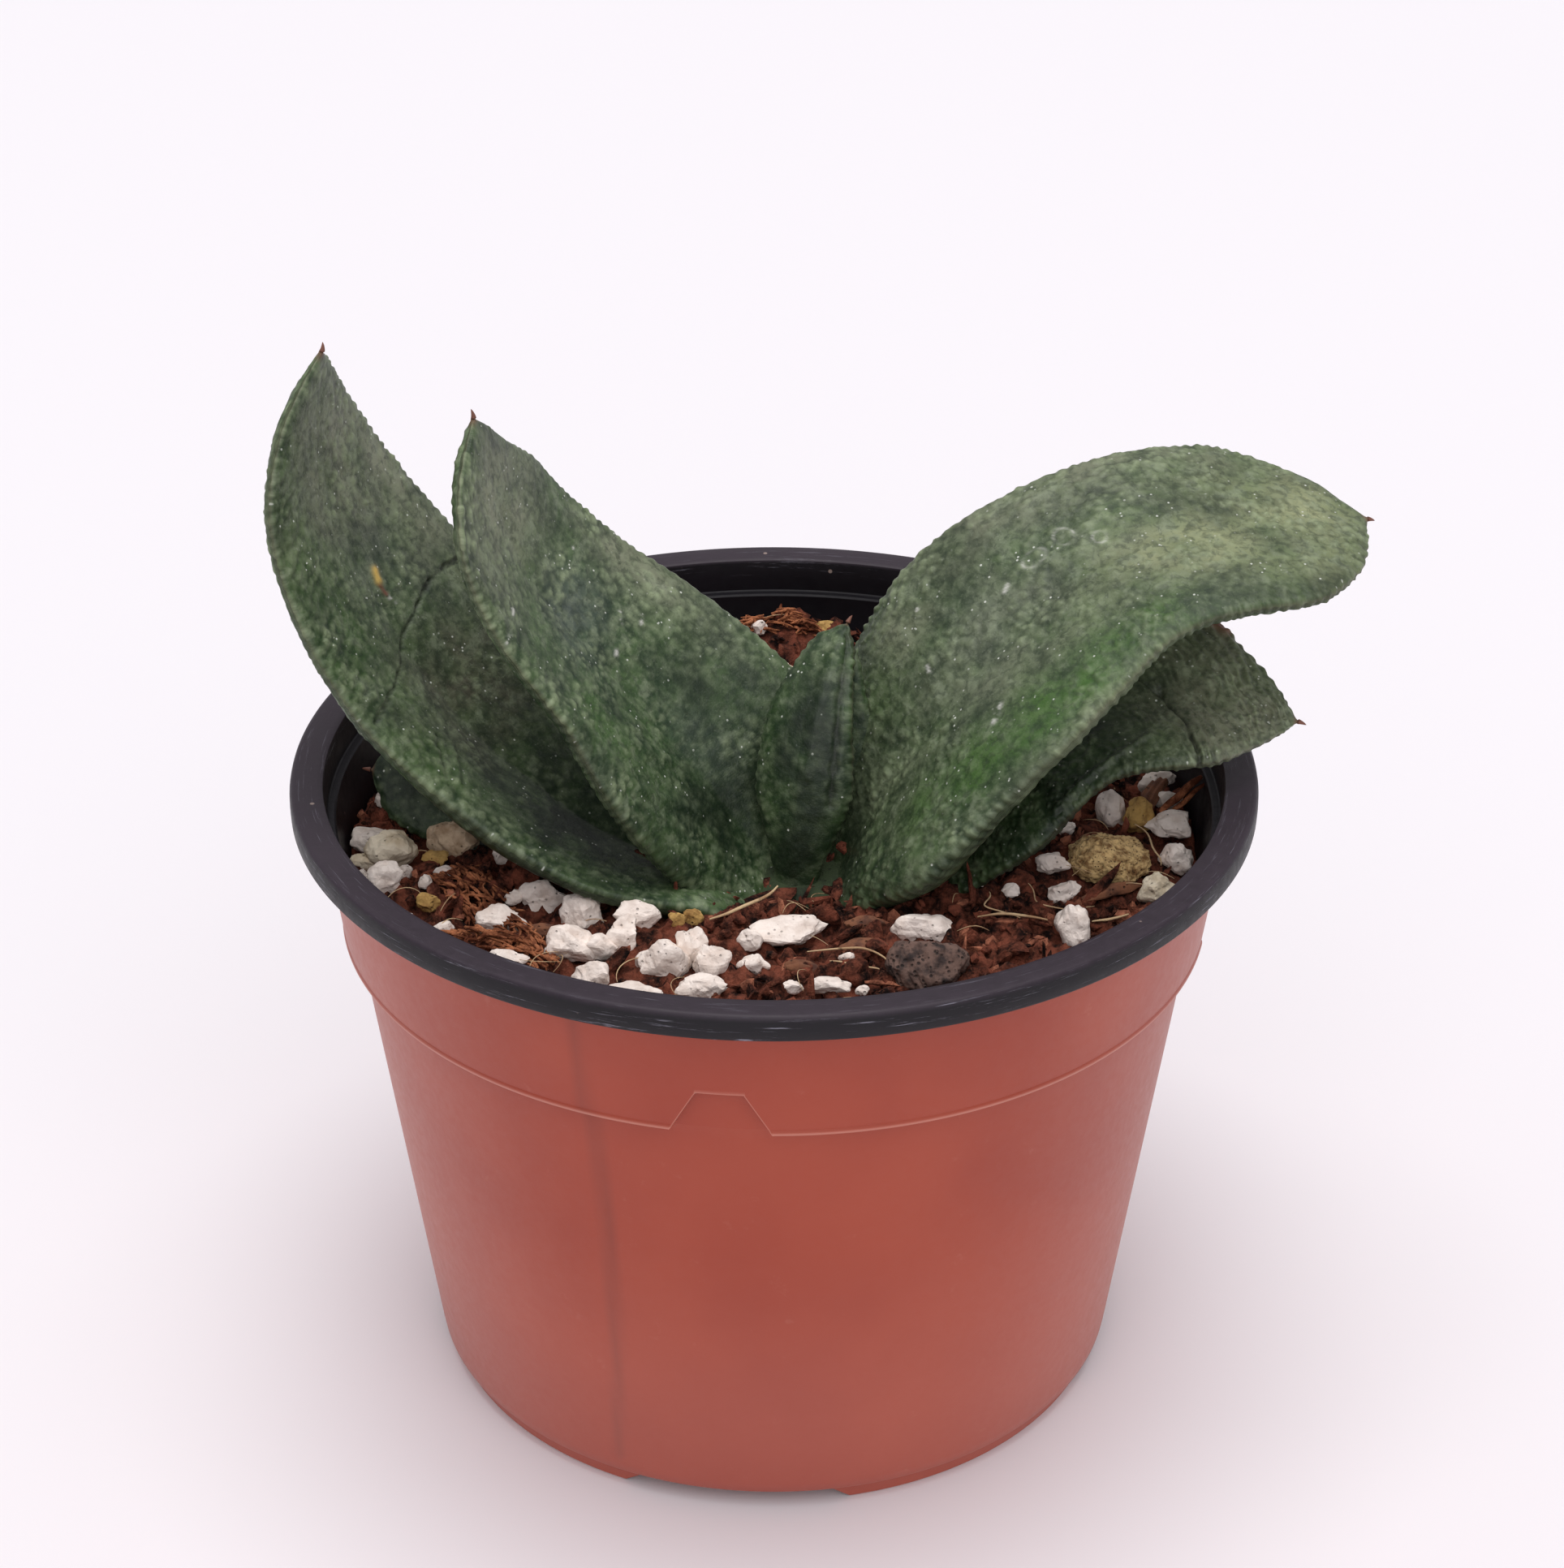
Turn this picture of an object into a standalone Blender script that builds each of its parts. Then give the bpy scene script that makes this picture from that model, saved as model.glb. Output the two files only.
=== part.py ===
"""Potted gasteria: a small rosette of warty strap leaves in a round two-colour nursery pot.

Lengths in the tables are millimetres; meshes are written in metres. +Z is up, the photo's camera looks
along +Y and +X is to the right in the photo. The row's origin is the bottom centre of the whole box, so
the pot's own axis stands AXIS_X beside it.
"""
import math
import random

import bmesh
import bpy
from mathutils import Euler, Vector

MM = 0.001
AXIS_X = -6.6           # pot axis in the row frame; the leaves reach further to the right
GAP = 0.36              # clearance kept between pieces

# Pot, radii and heights
FOOT_Z = 2.3            # height of the crease above the foot ring
FOOT_R = 39.4
WALL_R0 = 40.6          # wall just above the crease
STEP_Z = 57.0           # lower edge of the band
WALL_R1 = 48.3          # wall just under the band
BAND_R0 = 49.7
BAND_R1 = 51.8          # band just under the lip
LIP_Z = 71.9
RIM_R = 55.0
RIM_Z = 75.0
FLOOR_Z = 4.1           # upper face of the floor
PATTERN_DEG = -96.5     # polar angle of the front notch; the pattern repeats four times
NOTCH_TOP_Z = 62.5
NOTCH_W0, NOTCH_W1 = 10.6, 4.7
FOOT_GAP_DEG = (19.5, 14.5)     # half angle of a foot gap at the ground and at the crease
POT_STEPS = 72

# Potting mix
SOIL_Z = 66.0
SOIL_SECTORS = 44
GRAINS = 66
# The widest grains, each measured in the photo: x, y, size
BIG_GRAINS = [(-48.0, -2.4, 5.1), (-43.6, -6.1, 5.3), (-36.5, -2.4, 5.6), (-30.2, -20.3, 4.9),
              (-25.7, -14.8, 4.9), (-15.4, -21.3, 5.4), (-14.9, -35.3, 5.2), (1.4, -22.9, 7.0),
              (16.6, -22.5, 5.9), (43.1, -14.0, 4.6), (47.0, 0.5, 5.6), (39.2, 3.1, 4.4)]
PUMICE = (38.0, -7.9, 66.9, 4.1)
LAVA = (16.5, -31.1, 66.7, 4.4)

# Crown and roots
CROWN_X, CROWN_Y = 4.0, -4.6
CROWN_PROFILE = [(0, 46), (2.6, 46.4), (4.0, 50), (6.2, 56), (7.6, 60), (7.2, 62.6), (5.0, 64.2), (0, 64.8)]
ROOTS = 6

# Knots along a leaf, as fractions of its length
PITCH_T = (0, 0.25, 0.5, 0.75, 1)
TURN_T = (0, 0.5, 1)
WIDTH_T = (0, 0.15, 0.35, 0.6, 0.8, 0.92, 1)
THICK_T = (0, 0.3, 0.6, 0.85, 1)
LEAF_RINGS = 22
LEAF_SIDES = 14

# Each leaf: base point, length, pitch and heading in degrees (0 is away from the camera, 90 is right), roll
# that turns the front margin down, half widths in front of and behind the spine, channel slope at base and
# tip, thickness above and below the spine plane, and hand (-1 for a leaf that grows to the right).
LEAVES = {
    "leaf_young_centre": dict(
        base=(2.8, -7.5, 64.9), length=29.5, pitch=(83, 77, 65, 48, 50), yaw=(14, 20, 38), roll=(4, 2, -2),
        front=(2.7, 4.2, 5.8, 5.6, 4.3, 3.0), back=(2.4, 4.0, 5.5, 4.5, 3.0, 1.7), cup=(-0.1, -0.08),
        over=(1.6, 2.2, 1.9, 1.3, 0.6), under=(1.6, 2.2, 1.9, 1.3, 0.6), hand=1),
    "leaf_young_behind": dict(
        base=(6.6, 0.2, 64.0), length=24.5, pitch=(85, 82, 74, 70, 74), yaw=(20, 15, 20), roll=(-12, -8, 0),
        front=(3.0, 4.2, 4.4, 3.8, 2.6, 1.7), back=(3.0, 4.6, 4.7, 3.8, 2.5, 1.5), cup=(0.1, 0.05),
        over=(1.2, 1.4, 1.2, 0.9, 0.5), under=(1.4, 1.6, 1.3, 0.9, 0.5), hand=1),
    "leaf_front_left": dict(
        base=(-3.1, -3.9, 64.5), length=62.9, pitch=(57, 51, 51, 71, 91), yaw=(-74, -92, -91),
        roll=(27, 16, 13), front=(10.0, 14.6, 16.9, 14.0, 13.3, 8.8), back=(13.2, 18.1, 18.4, 17.3, 13.9, 6.6),
        cup=(0.36, 0.04), over=(2.6, 2.0, 1.6, 1.2, 0.7), under=(3.6, 3.4, 2.6, 1.9, 0.9), hand=1),
    "leaf_arching_right": dict(
        base=(9.9, -4.9, 63.8), length=78.5, pitch=(63, 57, 33, 0, -6), yaw=(90, 67, 70),
        roll=(13, 14, 12), front=(9.9, 18.5, 18.5, 14.8, 15.6, 10.3), back=(13.5, 17.5, 18.0, 15.2, 14.4, 8.8),
        cup=(0.23, 0.07), over=(2.8, 2.2, 1.9, 1.6, 0.9), under=(4.2, 4.6, 3.6, 2.6, 1.1), hand=-1),
    "leaf_tall_left": dict(
        base=(-9.3, -6.3, 63.3), length=81.3, pitch=(12, 37, 52, 75, 111), yaw=(-86, -69, -77),
        roll=(5, 2, 1), front=(12.6, 15.6, 15.3, 15.2, 13.9, 8.9), back=(11.3, 15.0, 18.2, 18.9, 14.2, 7.4),
        cup=(0.36, -0.01), over=(2.0, 1.8, 1.6, 1.3, 0.7), under=(3.4, 3.4, 2.8, 2.0, 0.9), hand=1),
    "leaf_old_right": dict(
        base=(12.5, -6.5, 66.0), length=23.0, pitch=(44, 42, 38, 34, 30), yaw=(94, 96, 98),
        roll=(10, 10, 8), front=(4.5, 5.2, 5.4, 4.8, 3.8, 2.6), back=(4.5, 5.2, 5.4, 4.8, 3.8, 2.6),
        cup=(0.12, 0.05), over=(0.8, 0.8, 0.7, 0.7, 0.6), under=(1.2, 1.2, 1.0, 0.8, 0.6), hand=-1),
    "leaf_low_right": dict(
        base=(12.6, -2.8, 61.5), length=54.6, pitch=(50, 46, 23, -1, -10), yaw=(74, 89, 95),
        roll=(18, 26, 16), front=(9.3, 13.4, 16.1, 10.8, 9.6, 5.2), back=(8.9, 11.5, 13.8, 14.5, 12.4, 6.4),
        cup=(0.26, 0.11), over=(2.0, 1.6, 1.3, 1.1, 0.7), under=(3.2, 3.2, 2.4, 1.6, 0.9), hand=-1),
    "leaf_low_left": dict(
        base=(-8.0, 0.5, 61.8), length=40.0, pitch=(20, 18, 16, 12, 8), yaw=(-85, -86, -86),
        roll=(20, 48, 58), front=(5.5, 7.0, 7.6, 7.8, 6.8, 5.0), back=(5.5, 7.0, 7.6, 7.8, 6.8, 5.0),
        cup=(0.15, 0.05), over=(1.3, 1.3, 1.2, 1.1, 0.8), under=(1.6, 1.6, 1.4, 1.2, 0.8), hand=1),
}

COLOURS = {
    "pot_shell": (0.35, 0.065, 0.032), "pot_lining": (0.018, 0.016, 0.021), "potting_mix": (0.09, 0.035, 0.02),
    "perlite": (0.72, 0.68, 0.64), "pumice": (0.42, 0.33, 0.2), "lava": (0.07, 0.05, 0.06),
    "leaf": (0.05, 0.1, 0.045), "crown": (0.3, 0.32, 0.18),
}


def monotone(knots, values, t):
    """Monotone cubic through the knots, with flat slopes at local extremes."""
    n = len(knots)
    step = [knots[i + 1] - knots[i] for i in range(n - 1)]
    rise = [(values[i + 1] - values[i]) / step[i] for i in range(n - 1)]
    slope = [rise[0]] + [0.0] * (n - 2) + [rise[-1]]
    for i in range(1, n - 1):
        if rise[i - 1] * rise[i] > 0:
            a, b = 2 * step[i] + step[i - 1], step[i] + 2 * step[i - 1]
            slope[i] = (a + b) / (a / rise[i - 1] + b / rise[i])
    i = max(k for k in range(n - 1) if knots[k] <= t)
    h, u = step[i], (t - knots[i]) / step[i]
    return ((2 * u**3 - 3 * u**2 + 1) * values[i] + (u**3 - 2 * u**2 + u) * h * slope[i]
            + (3 * u**2 - 2 * u**3) * values[i + 1] + (u**3 - u**2) * h * slope[i + 1])


def linear(knots, values, t):
    """Straight-line interpolation through the knots."""
    for i in range(len(knots) - 1):
        if t <= knots[i + 1]:
            u = (t - knots[i]) / (knots[i + 1] - knots[i])
            return values[i] + u * (values[i + 1] - values[i])
    return values[-1]


def material(name):
    """Principled material with one of the COLOURS."""
    mat = bpy.data.materials.get(name)
    if mat is None:
        mat = bpy.data.materials.new(name)
        mat.use_nodes = True
        shader = mat.node_tree.nodes["Principled BSDF"]
        shader.inputs["Base Color"].default_value = (*COLOURS[name], 1)
        shader.inputs["Roughness"].default_value = 0.5
        mat.diffuse_color = (*COLOURS[name], 1)
    return mat


def collection(name):
    """Collection of the given name, linked to the scene."""
    coll = bpy.data.collections.get(name)
    if coll is None:
        coll = bpy.data.collections.new(name)
        bpy.context.scene.collection.children.link(coll)
    return coll


def mesh_object(name, verts, faces, coll, mat=None, smooth=True):
    """Object from millimetre points about the pot axis, with outward faces."""
    mesh = bpy.data.meshes.new(name)
    mesh.from_pydata([((x + AXIS_X) * MM, y * MM, z * MM) for x, y, z in verts], [], faces)
    bm = bmesh.new()
    bm.from_mesh(mesh)
    bmesh.ops.recalc_face_normals(bm, faces=bm.faces)
    bm.to_mesh(mesh)
    bm.free()
    for poly in mesh.polygons:
        poly.use_smooth = smooth
    obj = bpy.data.objects.new(name, mesh)
    coll.objects.link(obj)
    if mat:
        mesh.materials.append(material(mat))
    return obj


def cutter(obj):
    """Show a cutter as wire and keep it out of renders."""
    obj.display_type = "WIRE"
    obj.hide_render = True
    return obj


def cut(obj, tool, kind="DIFFERENCE"):
    """Boolean modifier with one tool object."""
    mod = obj.modifiers.new(tool.name, "BOOLEAN")
    mod.operation = kind
    mod.solver = "EXACT"
    mod.object = tool
    return mod


def bake(obj, keep_largest=True):
    """Replace the mesh by its modified result and keep its largest body."""
    depsgraph = bpy.context.evaluated_depsgraph_get()
    mesh = bpy.data.meshes.new_from_object(obj.evaluated_get(depsgraph))
    old = obj.data
    obj.modifiers.clear()
    obj.data = mesh
    mesh.name = obj.name
    bpy.data.meshes.remove(old)
    bm = bmesh.new()
    bm.from_mesh(mesh)
    bmesh.ops.remove_doubles(bm, verts=bm.verts, dist=0.0005 * MM)
    if keep_largest:
        left, bodies = set(bm.verts), []
        while left:
            front, body = [left.pop()], []
            while front:
                vert = front.pop()
                body.append(vert)
                for edge in vert.link_edges:
                    other = edge.other_vert(vert)
                    if other in left:
                        left.remove(other)
                        front.append(other)
            bodies.append(body)
        bodies.sort(key=len)
        for body in bodies[:-1]:
            bmesh.ops.delete(bm, geom=body, context="VERTS")
    bmesh.ops.triangulate(bm, faces=[f for f in bm.faces if len(f.verts) > 4])
    bm.to_mesh(mesh)
    bm.free()


def ring_loft(rings, close_ends=True):
    """Faces between equal rings, with the first and last ring filled."""
    verts = [p for ring in rings for p in ring]
    n = len(rings[0])
    faces = [(i * n + j, i * n + (j + 1) % n, (i + 1) * n + (j + 1) % n, (i + 1) * n + j)
             for i in range(len(rings) - 1) for j in range(n)]
    if close_ends:
        faces.append(tuple(range(n)))
        faces.append(tuple((len(rings) - 1) * n + j for j in range(n)))
    return verts, faces


def leaf_rings(spec, grow=0.0):
    """Rings of points along a leaf. The spine follows pitch and heading; each section is a blunt lens
    whose margins rise by the channel slope. A positive grow makes the clearance cutter."""
    steps = 200
    spine, frames = [Vector(spec["base"])], []
    for i in range(steps + 1):
        t = i / steps
        pitch, yaw, roll = (math.radians(a) for a in (
            monotone(PITCH_T, spec["pitch"], t), linear(TURN_T, spec["yaw"], t),
            linear(TURN_T, spec["roll"], t)))
        ahead = Vector((math.cos(pitch) * math.sin(yaw), math.cos(pitch) * math.cos(yaw), math.sin(pitch)))
        side = Vector((-math.cos(yaw), math.sin(yaw), 0)) * spec["hand"]
        normal = ahead.cross(side) * spec["hand"]
        frames.append((ahead, side * math.cos(roll) - normal * math.sin(roll),
                       normal * math.cos(roll) + side * math.sin(roll)))
        if i:
            spine.append(spine[-1] + (frames[-2][0] + ahead) * spec["length"] / steps / 2)
    front, back = (*spec["front"], 0.0), (*spec["back"], 0.0)
    rings = []
    for k in range(LEAF_RINGS + 1):
        t = 1 - (1 - k / LEAF_RINGS) ** 1.5
        i = min(steps, round(t * steps))
        t = min(i / steps, 0.992)
        ahead, side, normal = frames[i]
        origin = spine[i].copy()
        if k == 0:
            origin -= ahead * grow
        if k == LEAF_RINGS:
            origin += ahead * grow
        over = monotone(THICK_T, spec["over"], t) + grow
        under = monotone(THICK_T, spec["under"], t) + grow
        wide = (monotone(WIDTH_T, front, t) + grow, monotone(WIDTH_T, back, t) + grow)
        slope = linear((0, 1), spec["cup"], t)
        ring = []
        for j in range(LEAF_SIDES):
            c, s = math.cos(2 * math.pi * j / LEAF_SIDES), math.sin(2 * math.pi * j / LEAF_SIDES)
            across = math.copysign(abs(c) ** 0.85, c) * wide[0 if c > 0 else 1]
            thick = math.copysign(abs(s) ** 0.8, s) * (over if s > 0 else under)
            ring.append(tuple(origin + side * across + normal * (slope * abs(across) + thick)))
        rings.append(ring)
    return rings


def make_leaves(parts, cutters):
    """All leaves from the middle outwards. Each one is trimmed clear of those inside it."""
    tools = []
    for name, spec in LEAVES.items():
        leaf = mesh_object(name, *ring_loft(leaf_rings(spec)), parts, "leaf")
        for tool in tools:
            cut(leaf, tool)
        bake(leaf)
        tools.append(cutter(mesh_object(name + "_clearance", *ring_loft(leaf_rings(spec, GAP)), cutters)))
    return tools


def revolve(name, profile, coll, sectors, centre=(0, 0)):
    """Turned body from (radius, height) points; the first and last lie on the axis."""
    verts = [(centre[0], centre[1], profile[0][1]), (centre[0], centre[1], profile[-1][1])]
    middle = profile[1:-1]
    for r, z in middle:
        for j in range(sectors):
            a = 2 * math.pi * j / sectors
            verts.append((centre[0] + r * math.cos(a), centre[1] + r * math.sin(a), z))
    faces = []
    for j in range(sectors):
        k = (j + 1) % sectors
        faces.append((0, 2 + k, 2 + j))
        faces.append((1, 2 + (len(middle) - 1) * sectors + j, 2 + (len(middle) - 1) * sectors + k))
        for i in range(len(middle) - 1):
            faces.append((2 + i * sectors + j, 2 + i * sectors + k,
                          2 + (i + 1) * sectors + k, 2 + (i + 1) * sectors + j))
    return mesh_object(name, verts, faces, coll)


def sector_block(name, coll, rows, columns=6):
    """Block between polar angles. Each row is (height, inner radius, outer radius, first and last angle)."""
    rings = []
    for z, r0, r1, a0, a1 in rows:
        angles = [math.radians(a0 + (a1 - a0) * i / columns) for i in range(columns + 1)]
        rings.append([(r0 * math.cos(a), r0 * math.sin(a), z) for a in angles]
                     + [(r1 * math.cos(a), r1 * math.sin(a), z) for a in reversed(angles)])
    return cutter(mesh_object(name, *ring_loft(rings), coll))


def inner_radius(z):
    """Radius of the pot's inner wall at a height."""
    return linear((FLOOR_Z, 55.0, 69.4, 71.0, RIM_Z), (39.0, 46.4, 49.9, 50.9, 51.2), z)


def make_pot(parts, cutters):
    """Turned shell with lip, band and foot ring, then the notches, foot gaps and drain holes."""
    outline = [(0, 2.4), (36.2, 2.4), (37.0, 1.7), (37.2, 0.0), (FOOT_R - 0.2, 0.0), (FOOT_R, 0.2),
               (FOOT_R + 0.1, FOOT_Z - 0.1), (WALL_R0 - 0.1, FOOT_Z), (WALL_R0, FOOT_Z + 0.2),
               (WALL_R1, STEP_Z - 0.1), (BAND_R0 - 0.1, STEP_Z), (BAND_R0, STEP_Z + 0.1),
               (BAND_R1, LIP_Z - 0.4), (BAND_R1 + 0.4, LIP_Z), (RIM_R - 0.5, LIP_Z + 0.1),
               (RIM_R - 0.1, LIP_Z + 0.5), (RIM_R, RIM_Z - 0.4), (RIM_R - 0.3, RIM_Z)]
    inside = [(51.4, RIM_Z), (51.1, RIM_Z - 0.3), (50.9, 71.0), (49.9, 69.4), (46.4, 55.0),
              (39.6, FLOOR_Z + 1.2), (38.6, FLOOR_Z), (0, FLOOR_Z)]
    pot = revolve("pot", outline + inside, parts, POT_STEPS)
    pot.data.materials.append(material("pot_shell"))
    pot.data.materials.append(material("pot_lining"))
    for poly in pot.data.polygons:
        c = poly.center / MM
        poly.material_index = int(math.hypot(c.x - AXIS_X, c.y) < inner_radius(max(c.z, FLOOR_Z)) + 0.8
                                  and c.z > FLOOR_Z - 1 or c.z > LIP_Z - 0.1)
    slope = (WALL_R1 - WALL_R0) / (STEP_Z - FOOT_Z)
    for i in range(4):
        centre = PATTERN_DEG + 90 * i
        rows = []
        for z, width in ((STEP_Z - 0.6, NOTCH_W0 + 0.4), (NOTCH_TOP_Z, NOTCH_W1)):
            r = WALL_R1 + slope * (z - STEP_Z) + 0.06
            half = math.degrees(width / 2 / r)
            rows.append((z, r, RIM_R, centre - half, centre + half))
        cut(pot, sector_block(f"notch_{i + 1}", cutters, rows))
        rows = [(z, 36.6, 43, centre - half, centre + half)
                for z, half in ((-1, FOOT_GAP_DEG[0] + 1.5), (2.0, FOOT_GAP_DEG[1]))]
        cut(pot, sector_block(f"foot_gap_{i + 1}", cutters, rows, 11))
        rows = [(z, 27, 34, centre - 13, centre + 13) for z in (1, FLOOR_Z + 1)]
        cut(pot, sector_block(f"drain_{i + 1}", cutters, rows, 7))
    cut(pot, cutter(revolve("drain_middle", [(0, 1), (5, 1), (5, 6), (0, 6)], cutters, 22)))
    bake(pot)
    return pot


def soil_height(x, y):
    """Uneven surface of the mix: slow waves, a little higher behind the plant."""
    wave = 0.55 * math.sin(0.21 * x + 0.4) * math.cos(0.17 * y) + 0.4 * math.sin(0.33 * y - 0.12 * x + 1.1)
    return SOIL_Z + wave + 0.9 * max(0.0, y / 48)


def grain(name, centre, size, rng, coll, mat):
    """Few-sided stone: an icosahedron with seeded stretch, turn and dents."""
    bm = bmesh.new()
    bmesh.ops.create_icosphere(bm, subdivisions=1, radius=1)
    turn = Euler([rng.uniform(0, 6.28) for _ in range(3)]).to_matrix()
    stretch = (rng.uniform(0.45, 0.6), rng.uniform(0.38, 0.52), rng.uniform(0.34, 0.45))
    points = []
    for vert in bm.verts:
        p = turn @ vert.co
        dent = rng.uniform(0.88, 1.12)
        points.append(tuple(c + size * s * dent * q for c, s, q in zip(centre, stretch, p)))
    faces = [tuple(v.index for v in f.verts) for f in bm.faces]
    bm.free()
    return mesh_object(name, points, faces, coll, mat, smooth=False)


def make_soil(parts, cutters, tools):
    """Turned mix with an uneven top and half-sunk grains, cut clear of leaves, crown and loose stones."""
    rings = []
    for r, z in ((37.6, FLOOR_Z + 0.35), (38.4, FLOOR_Z + 0.9)):
        rings.append((r, z))
    for z in (20, 38, 55, 61):
        rings.append((inner_radius(z) - GAP - 0.12, z))
    sectors = SOIL_SECTORS
    verts = []
    for r, z in rings:
        verts += [(r * math.cos(a), r * math.sin(a), z)
                  for a in (2 * math.pi * j / sectors for j in range(sectors))]
    top = [inner_radius(SOIL_Z) - GAP - 0.2] + [46.5 - 5.2 * i for i in range(8)]
    for i, r in enumerate(top):
        for j in range(sectors):
            a = 2 * math.pi * j / sectors
            x, y = r * math.cos(a), r * math.sin(a)
            verts.append((x, y, soil_height(x, y) - (1.6 if i == 0 else 0)))
    rows = len(rings) + len(top)
    n = sectors
    faces = [(i * n + j, i * n + (j + 1) % n, (i + 1) * n + (j + 1) % n, (i + 1) * n + j)
             for i in range(rows - 1) for j in range(n)]
    verts += [(0, 0, FLOOR_Z + 0.35), (0, 0, soil_height(0, 0))]
    for j in range(n):
        k = (j + 1) % n
        faces.append((len(verts) - 2, k, j))
        faces.append((len(verts) - 1, (rows - 1) * n + j, (rows - 1) * n + k))
    soil = mesh_object("potting_mix", verts, faces, parts, "potting_mix")
    soil.data.materials.append(material("perlite"))
    rng = random.Random(7)
    placed = [(x, y, size) for x, y, size in BIG_GRAINS]
    loose = [(PUMICE[0], PUMICE[1], 8.6), (LAVA[0], LAVA[1], 9.2)]
    tries = 0
    while len(placed) < GRAINS and tries < 6000:
        tries += 1
        size = rng.choice((2.2, 2.6, 3.0, 3.6, 4.2))
        r, a = 49 * math.sqrt(rng.uniform(0.16, 1)), rng.uniform(0, 2 * math.pi)
        x, y = r * math.cos(a), r * math.sin(a)
        if r > inner_radius(SOIL_Z) - 0.7 - 0.62 * size:
            continue
        if all(math.hypot(x - p, y - q) > 0.56 * (size + s) for p, q, s in placed + loose):
            placed.append((x, y, size))
    bits = collection("bits")
    for i, (x, y, size) in enumerate(placed):
        reach = inner_radius(SOIL_Z) - 0.7 - 0.62 * size
        pull = min(1.0, reach / max(math.hypot(x, y), 1e-6))
        x, y = x * pull, y * pull
        grain(f"grain_{i}", (x, y, soil_height(x, y) + 0.08 * size), size, rng, bits, "perlite")
    mod = soil.modifiers.new("grains", "BOOLEAN")
    mod.operation = "UNION"
    mod.solver = "EXACT"
    mod.material_mode = "TRANSFER"
    mod.operand_type = "COLLECTION"
    mod.collection = bits
    bake(soil)
    for obj in list(bits.objects):
        bpy.data.objects.remove(obj)
    bpy.data.collections.remove(bits)
    for tool in tools:
        cut(soil, tool)
    bake(soil)
    return soil


def make_stones(parts, cutters):
    """The two largest stones with the cutters that seat them in the mix."""
    tools = []
    for name, (x, y, z, r), seed, mat in (("pumice_stone", PUMICE, 3, "pumice"),
                                          ("lava_stone", LAVA, 11, "lava")):
        for grow, coll in ((0, parts), (GAP, cutters)):
            rng = random.Random(seed)
            waves = [(Vector([rng.gauss(0, 1) for _ in range(3)]).normalized(), rng.uniform(1.5, 4),
                      rng.uniform(0, 6.28)) for _ in range(5)]
            bm = bmesh.new()
            bmesh.ops.create_icosphere(bm, subdivisions=3, radius=1)
            points = []
            for vert in bm.verts:
                d = vert.co.normalized()
                bump = sum(math.sin(w * d.dot(axis) + phase) for axis, w, phase in waves)
                reach = r * (1 + 0.045 * bump) + grow
                points.append((x + 1.05 * reach * d.x, y + 0.85 * reach * d.y, z + 0.66 * reach * d.z))
            faces = [tuple(v.index for v in f.verts) for f in bm.faces]
            bm.free()
            obj = mesh_object(name if not grow else name + "_clearance", points, faces, coll,
                              mat if not grow else None)
            if grow:
                tools.append(cutter(obj))
    return tools


def make_crown(parts, cutters, tools):
    """Short crown with root stubs, and the cutter of the plain hole that it stands in."""
    hole = None
    for grow, coll in ((0, parts), (GAP, cutters)):
        profile = [(0, CROWN_PROFILE[0][1] - grow)]
        profile += [(r + grow, z) for r, z in CROWN_PROFILE[1:-1]] + [(0, CROWN_PROFILE[-1][1] + grow)]
        body = revolve("crown" if not grow else "crown_clearance", profile, coll, 28, (CROWN_X, CROWN_Y))
        bits = collection("root_bits")
        rng = random.Random(5)
        for i in range(ROOTS):
            a = 2 * math.pi * (i + rng.uniform(-0.2, 0.2)) / ROOTS
            drop, reach = rng.uniform(12, 20), rng.uniform(12, 20)
            rings = []
            for k in range(7):
                t = k / 6
                r = 3 + reach * t
                p = Vector((CROWN_X + r * math.cos(a + 0.5 * t), CROWN_Y + r * math.sin(a + 0.5 * t),
                            50 - drop * t**1.4))
                size = 1.5 * (1 - 0.6 * t) + grow
                side = Vector((-math.sin(a), math.cos(a), 0))
                lift = Vector((math.cos(a) * 0.5, math.sin(a) * 0.5, 0.86))
                rings.append([tuple(p + side * size * math.cos(b) + lift * size * math.sin(b))
                              for b in (2 * math.pi * j / 8 for j in range(8))])
            mesh_object(f"root_{i}", *ring_loft(rings), bits)
        mod = body.modifiers.new("roots", "BOOLEAN")
        mod.operation = "UNION"
        mod.solver = "EXACT"
        mod.operand_type = "COLLECTION"
        mod.collection = bits
        bake(body)
        for obj in list(bits.objects):
            bpy.data.objects.remove(obj)
        bpy.data.collections.remove(bits)
        if grow:
            hole = cutter(body)
        else:
            body.data.materials.append(material("crown"))
            for tool in tools:
                cut(body, tool)
            bake(body)
    return hole


def main():
    for obj in list(bpy.data.objects):
        bpy.data.objects.remove(obj)
    parts, cutters = collection("potted_gasteria"), collection("cutters")
    leaf_tools = make_leaves(parts, cutters)
    hole = make_crown(parts, cutters, leaf_tools)
    make_pot(parts, cutters)
    stone_tools = make_stones(parts, cutters)
    make_soil(parts, cutters, leaf_tools + [hole] + stone_tools)
    cutters.hide_render = True
    lo = [min((o.matrix_world @ v.co)[i] for o in parts.objects for v in o.data.vertices) for i in range(3)]
    hi = [max((o.matrix_world @ v.co)[i] for o in parts.objects for v in o.data.vertices) for i in range(3)]
    print("box", [round(v * 1000, 2) for v in lo], [round(v * 1000, 2) for v in hi])
    for obj in parts.objects:
        mesh = obj.data
        print(obj.name, sum(len(p.vertices) - 2 for p in mesh.polygons), "triangles")


main()
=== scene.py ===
import math

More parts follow.
